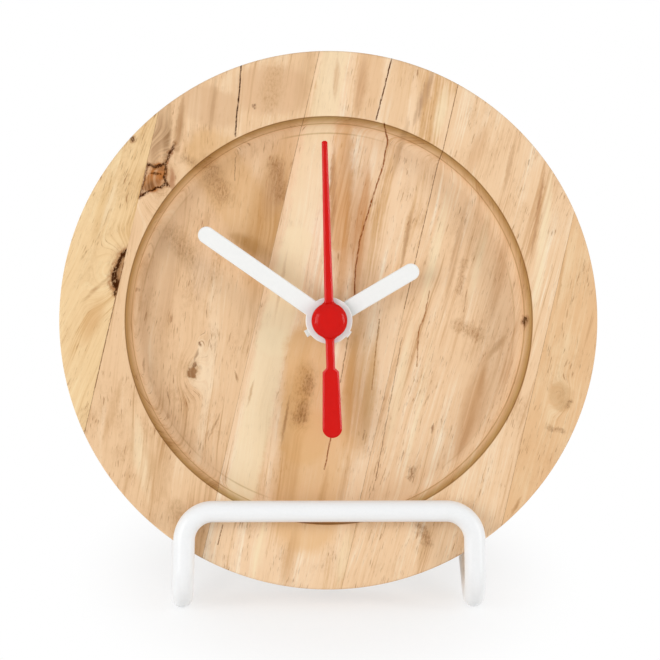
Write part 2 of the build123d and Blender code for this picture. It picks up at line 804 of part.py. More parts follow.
# Each piece is written under its own name
pieces = {
    "stave_far_left": stave_far_left,
    "stave_left": stave_left,
    "stave_middle": stave_middle,
    "stave_right": stave_right,
    "stave_far_right": stave_far_right,
    "stand": stand,
    "hour_hand": hour_hand,
    "minute_hand": minute_hand,
    "second_hand": second_hand,
    "second_sleeve": second_sleeve,
    "centre_bush": centre_bush,
    "hex_nut": hex_nut,
    "dial_washer": dial_washer,
    "rubber_washer": rubber_washer,
    "front_case": front_case,
    "rear_cover": rear_cover,
    "battery": battery,
    "positive_contact": positive_contact,
    "negative_contact": negative_contact,
    "circuit_board": circuit_board,
    "quartz_crystal": quartz_crystal,
    "control_chip": control_chip,
    "stator": stator,
    "coil_core": coil_core,
    "coil_bobbin": coil_bobbin,
    "coil_winding": coil_winding,
    "rotor": rotor,
    "fifth_wheel": fifth_wheel,
    "second_wheel": second_wheel,
    "third_wheel": third_wheel,
    "centre_wheel": centre_wheel,
    "minute_tube": minute_tube,
    "motion_wheel": motion_wheel,
    "hour_wheel": hour_wheel,
    "setting_knob": setting_knob,
}
for name, piece in pieces.items():
    piece.part.label = name
    export_step(piece.part, f"parts/{name}.step")
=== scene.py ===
import json
import math
from functools import partial

import bmesh
import bpy
from mathutils import Matrix, Vector


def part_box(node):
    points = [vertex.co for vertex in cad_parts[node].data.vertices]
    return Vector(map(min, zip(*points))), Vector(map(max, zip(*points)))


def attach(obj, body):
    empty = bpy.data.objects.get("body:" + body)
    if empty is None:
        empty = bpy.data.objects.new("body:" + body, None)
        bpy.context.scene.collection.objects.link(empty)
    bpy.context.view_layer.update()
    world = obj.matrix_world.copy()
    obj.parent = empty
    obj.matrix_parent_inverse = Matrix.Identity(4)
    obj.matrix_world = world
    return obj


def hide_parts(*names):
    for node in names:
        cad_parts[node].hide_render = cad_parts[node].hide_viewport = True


# A round wooden table clock that leans in a bent white rod stand.
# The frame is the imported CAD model: metres, +Z up, the dial faces -Y and leans back.
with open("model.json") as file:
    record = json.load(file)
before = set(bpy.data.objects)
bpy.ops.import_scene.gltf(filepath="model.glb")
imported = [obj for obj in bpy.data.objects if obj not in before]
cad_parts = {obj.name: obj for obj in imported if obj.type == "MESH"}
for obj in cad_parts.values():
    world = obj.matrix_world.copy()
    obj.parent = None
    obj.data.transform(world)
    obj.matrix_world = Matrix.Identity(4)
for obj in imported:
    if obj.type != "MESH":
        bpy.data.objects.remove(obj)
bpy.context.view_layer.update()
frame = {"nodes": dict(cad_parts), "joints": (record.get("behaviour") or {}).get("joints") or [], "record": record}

MM = 0.001
MERGE_DISTANCE = 1e-7

# The dial's own frame, from the axis on which the hands turn

MOVEMENT_FRONT = 13.0
hand_axis = next(joint for joint in frame["joints"] if joint["name"] == "minute_turn")
RIGHT = Vector((1.0, 0.0, 0.0))
OUT = -Vector(hand_axis["axis"]).normalized()
UP = OUT.cross(RIGHT)
CENTRE = Vector(hand_axis["pos_m"]) + OUT * MOVEMENT_FRONT * MM


def on_dial(right, up, out=0.0):
    """A point from millimetres to the right, up the dial and out of its rim."""
    return CENTRE + (RIGHT * right + UP * up + OUT * out) * MM


# Sizes of the disc, in millimetres
DISC_RADIUS = 75.0
DISC_THICKNESS = 20.0
EDGE_ROUND = 0.6
RECESS_RADIUS = 56.8
RECESS_DEPTH = 8.0
RECESS_DRAFT = 1.9
COVE_RADIUS = 3.0
LIP_ROUND = 0.35
WEB_THICKNESS = 4.0
POCKET_RADIUS = 39.86
BUSH_HOLE_RADIUS = 4.2
STAVE_WIDTH = 39.7
STAVE_SHIFT = 0.3
STAVE_LEAN = math.radians(13.0)
TURNING_STEPS = 288
ARC_STEPS = 6

# The staves run up the dial, leaning a little to the right
STAVE_ACROSS = RIGHT * math.cos(STAVE_LEAN) - UP * math.sin(STAVE_LEAN)
JOINT_PLACES = [STAVE_SHIFT + share * STAVE_WIDTH for share in (-1.5, -0.5, 0.5, 1.5)]

# Sizes of the stand, in millimetres
ROD_RADIUS = 3.0
LEG_HALF_SPACING = 40.9
LEG_SPLAY = math.radians(1.4)
BAR_DROP = 52.9
FOOT_DROP = 80.2
REST_RISE = 8.0
REAR_REACH = 60.0
FRONT_GAP = 0.3
BACK_GAP = 0.6
SEAT_GAP = 0.3
CORNER_BEND = 8.0
FOOT_BEND = 8.0
SEAT_BEND = 6.0
TOP_BEND = 8.0
COAT_SLACK = 0.01
BEND_STEPS = 24
SECTION_SIDES = 32

# Sizes of the second hand, in millimetres
SECOND_BASE = -0.3
SECOND_THICKNESS = 1.2
SECOND_BEVEL = 0.3
SECOND_LENGTH = 50.0
SECOND_TAIL = 32.7
SECOND_BEARING = math.radians(-1.6)
SECOND_TIP = 1.6
TIP_ROUND = 0.4
SECOND_ROOT = 2.5
SECOND_STEM = 2.45
SHOULDER_START = 13.2
SHOULDER_END = 14.3
WEIGHT_NECK = 4.6
WEIGHT_WIDTH = 5.5
CAP_RADIUS = 5.0
CAP_SKIRT = 1.2
CAP_DOME = 2.2
SLEEVE_BORE = 0.99
BEVEL_WIDTH = 0.5
DOME_STEPS = 16
CAP_STEPS = 96
# The flare from blade to cap, and its curve in shares of it: out from the blade's side and the cap's edge
FLARE = 0.7
FLARE_CURVE = ((1.0, -0.4), (0.4, 0.0), (0.1, 0.4), (0.0, 1.0))

# Edges up to these angles are shaded smooth
SMOOTH_ANGLE = math.radians(35)
HAND_SMOOTH_ANGLE = math.radians(25)


# Small helpers

def linear(hex_colour):
    """An sRGB hex colour as the linear colour that nodes take."""
    channels = [int(hex_colour[i:i + 2], 16) / 255 for i in (1, 3, 5)]
    return [c / 12.92 if c <= 0.04045 else ((c + 0.055) / 1.055) ** 2.4 for c in channels] + [1.0]


def feed(node, values):
    """Settings and links of a node. A key that isn't the node's own names a socket, and a socket as its
    value is linked, or a node by its first output in use."""
    for key, value in values.items():
        if isinstance(value, bpy.types.Node):
            value = next(socket for socket in value.outputs if socket.enabled)
        if isinstance(value, bpy.types.NodeSocket):
            node.id_data.links.new(value, node.inputs[key])
        elif isinstance(key, str) and hasattr(node, key):
            setattr(node, key, value)
        else:
            node.inputs[key].default_value = value
    return node


def add_node(tree, kind, values=None):
    """One node with its settings and links. A kind without a family is a shader node, and what follows
    its dot is the operation."""
    kind, _, operation = kind.partition(".")
    node = tree.nodes.new(kind if "Node" in kind else "ShaderNode" + kind)
    if operation:
        node.operation = operation
    return feed(node, values or {})


def socket_group(name, inputs, outputs, family="ShaderNodeTree"):
    """An empty node group with named sockets, what adds nodes to it, its inputs and its output node."""
    tree = bpy.data.node_groups.new(name, family)
    for way, sockets in (("INPUT", inputs), ("OUTPUT", outputs)):
        for socket, kind in sockets.items():
            tree.interface.new_socket(socket, in_out=way, socket_type="NodeSocket" + kind)
    add = partial(add_node, tree)
    return tree, add, add("NodeGroupInput").outputs, add("NodeGroupOutput")


def mesh_from(name, bm):
    """A bmesh as a mesh with its normals out."""
    bmesh.ops.recalc_face_normals(bm, faces=bm.faces)
    mesh = bpy.data.meshes.new(name)
    bm.to_mesh(mesh)
    bm.free()
    return mesh


def in_scene(name, data):
    """An object of the data, linked to the scene."""
    held = bpy.data.objects.new(name, data)
    bpy.context.scene.collection.objects.link(held)
    return held


def finish_piece(name, mesh, body, material, nodes, smooth_angle=SMOOTH_ANGLE):
    """A mesh as an object with one material, on its body and in the place of its CAD nodes."""
    mesh.materials.clear()
    mesh.materials.append(material)
    mesh.shade_smooth()
    mesh.set_sharp_from_angle(angle=smooth_angle)
    piece = in_scene(name, mesh)
    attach(piece, body)
    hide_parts(*nodes)


# Materials. Where a real grain is too fine to show in a picture, it is drawn just coarse enough to be seen.

GRAIN_DETAIL = 4.0
GRAIN_BUMP = 0.5
GLOSS_VARIES = 0.06


def new_material(name):
    """A node material with its output, what adds nodes to it and the principled shader that feeds it."""
    material = bpy.data.materials.new(name)
    material.use_nodes = True
    material.node_tree.nodes.clear()
    add = partial(add_node, material.node_tree)
    shader = add("BsdfPrincipled")
    add("OutputMaterial", {"Surface": shader})
    return material, add, shader


def speckled(name, low, high, roughness, size_mm, bump_mm, metallic=0.0, specular=0.5):
    """A plain finish that varies a little in colour and gloss at the given grain size, with a fine bump."""
    material, add, shader = new_material(name)
    place = add("TexCoord").outputs["Object"]
    grain = add("TexNoise", {"Scale": 1 / (size_mm * MM), "Detail": GRAIN_DETAIL, "Vector": place})
    colour = add("Mix", {"data_type": "RGBA", 0: grain, 6: linear(low), 7: linear(high)})
    gloss = add("MapRange", {"Value": grain, "To Min": roughness - GLOSS_VARIES,
                             "To Max": roughness + GLOSS_VARIES})
    bump = add("Bump", {"Strength": GRAIN_BUMP, "Distance": bump_mm * MM, "Height": grain})
    feed(shader, {"Base Color": colour, "Roughness": gloss, "Normal": bump, "Metallic": metallic,
                  "Specular IOR Level": specular})
    return material


# Teak: every stave is the same wood with its own colours, lean of the grain, knots and marks.
# All places are millimetres right and up from the middle of the dial.

DIAL_TURN = Matrix((RIGHT, UP, OUT)).transposed().to_euler()
BARK, CRACK, RED_LINE = "#42200A", "#6E3F18", "#8C4C20"
BROWN, CREAM = "#B58655", "#F2DCB6"
MOTTLE_TINT, PORE_TINT = "#AD7C49", "#8F5A2E"
# Tints multiplied in on the recess wall, as painted shade with the darker oil of its end grain; the wall's tint
# also darkens the thin ring near the cove's foot
WALL_TINT, LIP_SHADE_AND_OIL_TINT = "#C4B588", "#B4A078"

# How far behind the rim the pith is, the grain's sway across and along, and what a knot does to it
PITH_DEPTH = 45.0
SWAY_SIZE, SWAY_DETAIL = (34.0, 62.0), 3.0
SEED_STRIDE = 13.0
KNOT_PULL, KNOT_STRETCH = 0.85, 0.6
# The unrest of the marks' edges, and the reddish halo round bark
TREMOR_SCALE, TREMOR_DETAIL, TREMOR_ROUGHNESS = 0.45, 5.0, 0.65
HALO_WIDTH, HALO_STRENGTH = 2.2, 0.5
# Added where a stroke is divided by what is left of it
NEVER_ZERO = 0.001
# The wall's darker bands: painted shade down the recess wall, below its lip and in its crease at the cove,
# together with end grain that takes more oil. From where to where they come in and go, out of the rim, with tint
# and strength
WALL_MARGIN = 1.0
WALL_SHADE_AND_OIL_BANDS = (
    ((-0.05, -0.3), (-5.4, -1.6), WALL_TINT, 0.95),
    ((-0.05, -0.3), (-1.2, -0.5), LIP_SHADE_AND_OIL_TINT, 0.7),
    ((-4.3, -4.8), (-5.6, -5.1), WALL_TINT, 0.7),
)
# A thin darker ring near the foot of the cove: its radius, its edges and strength, and the size and step of the
# noise that breaks it up
COVE_FOOT_RING_RADIUS, COVE_FOOT_RING_EDGES, COVE_FOOT_RING_STRENGTH = 52.4, (0.05, 0.32), 0.6
FOOT_RING_BREAK_SIZE, FOOT_RING_BREAK_DETAIL, FOOT_RING_BREAK_STEP = 30.0, 2.0, (0.42, 0.62)
# Roughness and shine from the pores' floor up to the surface, and the depth of the grain
TEAK_HEIGHTS, TEAK_ROUGHNESS = (-0.5, 0.5), (0.72, 0.48)
SHINE_HEIGHTS, TEAK_SHINE = (-0.5, 0.1), 0.22
TEAK_BUMP, TEAK_GRAIN_DEPTH = 0.6, 0.06


def stroke_group():
    """How much of a soft stroke covers a place: 1 along its line, 0 at its half width, lost at its ends."""
    tree, add, given, result = socket_group("stroke", {
        "Place": "Vector", "Start": "Vector", "Direction": "Vector", "Length": "Float", "Half Width": "Float",
        "Core": "Float", "Taper": "Float"}, {"Cover": "Float"})
    away = add("VectorMath.SUBTRACT", {0: given["Place"], 1: given["Start"]})
    along = add("VectorMath.DOT_PRODUCT", {0: away, 1: given["Direction"]})
    held = add("Clamp", {"Value": along, "Max": given["Length"]})
    nearest = add("VectorMath.SCALE", {0: given["Direction"], "Scale": held})
    gap = add("VectorMath.DISTANCE", {0: away, 1: nearest})
    from_middle = add("MapRange", {"Value": held, "From Max": given["Length"], "To Min": -1.0})
    squared = add("Math.POWER", {0: from_middle, 1: 2.0})
    lost = add("Math.MULTIPLY", {0: squared, 1: given["Taper"]})
    left = add("Math.SUBTRACT", {0: 1.0 + NEVER_ZERO, 1: lost})
    shaped = add("Math.DIVIDE", {0: gap, 1: left})
    cover = add("MapRange", {"interpolation_type": "SMOOTHSTEP", "Value": shaped, "From Min": given["Core"],
                             "From Max": given["Half Width"], "To Min": 1.0, "To Max": 0.0})
    feed(result, {"Cover": add("Math.MULTIPLY", {0: cover, 1: left})})
    return tree


# The figure's noise on the growth rings: size across and along the grain in millimetres, and detail
RING_LAYERS = {
    "broad": (6.5, 150.0, 2.0), "bands": (2.2, 90.0, 3.0), "streaks": (0.8, 45.0, 3.0),
    "fibres": (0.33, 14.0, 3.0), "pores": (0.28, 3.4, 1.0),
}
# Its noise that runs over the rings, by the same sizes
LOOSE_LAYERS = {"cloud": (7.0, 14.0, 6.0), "patch": (26.0, 52.0, 6.0), "specks": (0.5, 1.2, 5.0)}
RING_ROUGHNESS, LOOSE_ROUGHNESS = 0.55, 0.68
# How much of the tone each layer gives, its middle, and how far patches shift it
TONE_SHARES = {"broad": 0.32, "bands": 0.24, "streaks": 0.22, "fibres": 0.22}
TONE_MIDDLE, PATCH_SPAN, FIBRE_RISE = 0.5, 0.75, 0.5
# Smooth steps: the layer, where on it the step starts and ends, and the values there
FIGURE_STEPS = {
    "over_deep": ("shade", 0.14, 0.50, 0.0, 1.0), "over_middle": ("shade", 0.50, 0.84, 0.0, 1.0),
    "dull": ("cloud", 0.47, 0.70, 0.0, 1.0), "dull_specks": ("specks", 0.40, 0.62, 0.40, 1.0),
    "thin": ("streaks", 0.36, 0.27, 0.0, 0.55), "thin_places": ("patch", 0.40, 0.58, 0.0, 1.0),
    "pit": ("pores", 0.62, 0.72, 0.0, 1.0), "pit_places": ("cloud", 0.42, 0.64, 0.12, 0.60),
    "streaked": ("streaks", 0.34, 0.60, 0.40, 1.0), "specked": ("specks", 0.42, 0.66, 0.40, 1.0),
    "ragged": ("specks", 0.38, 0.52, 0.35, 1.0),
}
# Each of these is the product of two steps
FIGURE_PRODUCTS = {"dulled": ("dull", "dull_specks"), "thinned": ("thin", "thin_places"),
                   "pitted": ("pit", "pit_places")}


def figure_group():
    """Teak's figure on its growth rings: broad bands, thin lines, fibres, pores and specked mottling."""
    tree, add, given, result = socket_group("teak_figure", {
        "Ring": "Float", "Grain": "Vector", "Bands": "Float", "Mottle": "Float", "Pale": "Color",
        "Middle": "Color", "Deep": "Color"}, {
        "Color": "Color", "Height": "Float", "Streaks": "Float", "Specks": "Float", "Ragged": "Float"})
    grain = add("SeparateXYZ", {0: given["Grain"]}).outputs
    on_rings = add("CombineXYZ", {0: given["Ring"], 1: grain["Y"], 2: grain["Z"]})
    layers = {}
    for source, roughness, sizes in ((on_rings, RING_ROUGHNESS, RING_LAYERS),
                                     (given["Grain"], LOOSE_ROUGHNESS, LOOSE_LAYERS)):
        for name, (across, along, detail) in sizes.items():
            deep = along if sizes is RING_LAYERS else across
            fitted = add("VectorMath.MULTIPLY", {0: source, 1: (1 / across, 1 / along, 1 / deep)})
            layers[name] = add("TexNoise", {"Scale": 1.0, "Detail": detail, "Roughness": roughness,
                                            "Vector": fitted})
    tone = -TONE_MIDDLE
    for name, share in TONE_SHARES.items():
        tone = add("Math.MULTIPLY_ADD", {0: layers[name], 1: share, 2: tone})
    level = add("Math.MULTIPLY_ADD", {0: layers["patch"], 1: PATCH_SPAN, 2: (1 - PATCH_SPAN) / 2})
    layers["shade"] = add("Math.MULTIPLY_ADD", {0: tone, 1: given["Bands"], 2: level})
    steps = {}
    for name, (layer, start, end, low, high) in FIGURE_STEPS.items():
        steps[name] = add("MapRange", {"interpolation_type": "SMOOTHSTEP", "Value": layers[layer],
                                       "From Min": start, "From Max": end, "To Min": low, "To Max": high})
    for name, (first, second) in FIGURE_PRODUCTS.items():
        steps[name] = add("Math.MULTIPLY", {0: steps[first], 1: steps[second]})
    steps["dulled"] = add("Math.MULTIPLY", {0: steps["dulled"], 1: given["Mottle"]})
    colour = given["Deep"]
    for step, above in (("over_deep", given["Middle"]), ("over_middle", given["Pale"]),
                        ("dulled", linear(MOTTLE_TINT)), ("thinned", linear(BROWN)),
                        ("pitted", linear(PORE_TINT))):
        colour = add("Mix", {"data_type": "RGBA", 0: steps[step], 6: colour, 7: above})
    raised = add("Math.MULTIPLY", {0: layers["fibres"], 1: FIBRE_RISE})
    height = add("Math.SUBTRACT", {0: raised, 1: steps["pitted"]})
    feed(result, {"Color": colour, "Height": height, "Streaks": steps["streaked"], "Specks": steps["specked"],
                  "Ragged": steps["ragged"]})
    return tree


STROKE = stroke_group()
FIGURE = figure_group()

# Each kind of mark: its sharp core as a share of its width, its taper, how rough its edge is in millimetres,
# which part of the figure breaks it up, and whether it is a dent in the wood
MARK_KINDS = {
    "streak": (0.15, 1.0, 1.4, "Streaks", False),
    "cloud": (0.0, 0.0, 4.0, "Specks", False),
    "line": (0.35, 0.0, 0.6, "Ragged", True),
    "joint": (0.35, 0.0, 0.0, "Ragged", True),
    "patch": (0.55, 0.0, 2.2, "Streaks", False),
    "smooth": (0.60, 0.0, 2.6, None, False),
    "bark": (0.45, 0.0, 2.2, "Ragged", True),
}


def joint_line(index, top, bottom, width, strength):
    """A stretch of a glue joint as a mark, from how far up the joint it starts and ends."""
    across = Vector((math.cos(STAVE_LEAN), -math.sin(STAVE_LEAN))) * JOINT_PLACES[index]
    along = Vector((math.sin(STAVE_LEAN), math.cos(STAVE_LEAN)))
    return "joint", (tuple(across + along * top), tuple(across + along * bottom)), width, CRACK, strength


# Each mark is its kind, line, half width, colour and strength. Each knot is its middle and its reach.
# Pith, sway, bands and mottle say where the rings' middle is, how they wave and how strong the figure is.
# The three colours go from pale to deep.
JOINT_MARKS = {
    0: [joint_line(0, 80, 24, 0.12, 0.45), joint_line(0, 3, -34, 0.22, 0.8),
        joint_line(0, -34, -80, 0.15, 0.6)],
    1: [joint_line(1, 80, 30, 0.14, 0.55), joint_line(1, 30, -45, 0.12, 0.30),
        joint_line(1, -45, -80, 0.13, 0.45)],
    2: [joint_line(2, 80, 8, 0.17, 0.8), joint_line(2, 8, -80, 0.12, 0.40)],
    3: [joint_line(3, 80, 10, 0.11, 0.4), joint_line(3, 10, -80, 0.12, 0.5)],
}
STAVE_LOOKS = {
    "stave_far_left": {
        "seed": 3.0, "lean": 22.0, "sway": 8.0, "pith": 70.0, "bands": 2.0, "mottle": 0.34,
        "colours": ("#F1DAAE", "#E9C898", "#CFA26A"), "joints": (0,),
        "knots": [(-59.4, 13.2, 9.0)],
    },
    "stave_left": {
        "seed": 11.0, "lean": 7.0, "sway": 9.0, "pith": -95.0, "bands": 1.8, "mottle": 0.40,
        "colours": ("#F0D5B2", "#E6C198", "#C69A6B"), "joints": (0, 1),
        "knots": [(-48.2, 39.6, 9.0), (-38.2, -14.6, 6.0), (-36.0, -6.5, 2.5)],
    },
    "stave_middle": {
        "seed": 27.0, "lean": 11.0, "sway": 7.0, "pith": 55.0, "bands": 2.0, "mottle": 0.36,
        "colours": ("#F7E6CC", "#EECCA6", "#CE9E66"), "joints": (1, 2),
        "knots": [(-5.4, -17.9, 4.4), (-7.0, -25.7, 4.4)],
    },
    "stave_right": {
        "seed": 41.0, "lean": 15.0, "sway": 4.5, "pith": -60.0, "bands": 2.1, "mottle": 0.28,
        "colours": ("#F6E4C8", "#EBC79F", "#CC9E70"), "joints": (2, 3),
        "knots": [],
    },
    "stave_far_right": {
        "seed": 55.0, "lean": 14.0, "sway": 5.0, "pith": 118.0, "bands": 1.9, "mottle": 0.26,
        "colours": ("#EBCDA4", "#E2B88A", "#CA9A6A"), "joints": (3,),
        "knots": [(64.8, -21.4, 4.0)],
    },
}
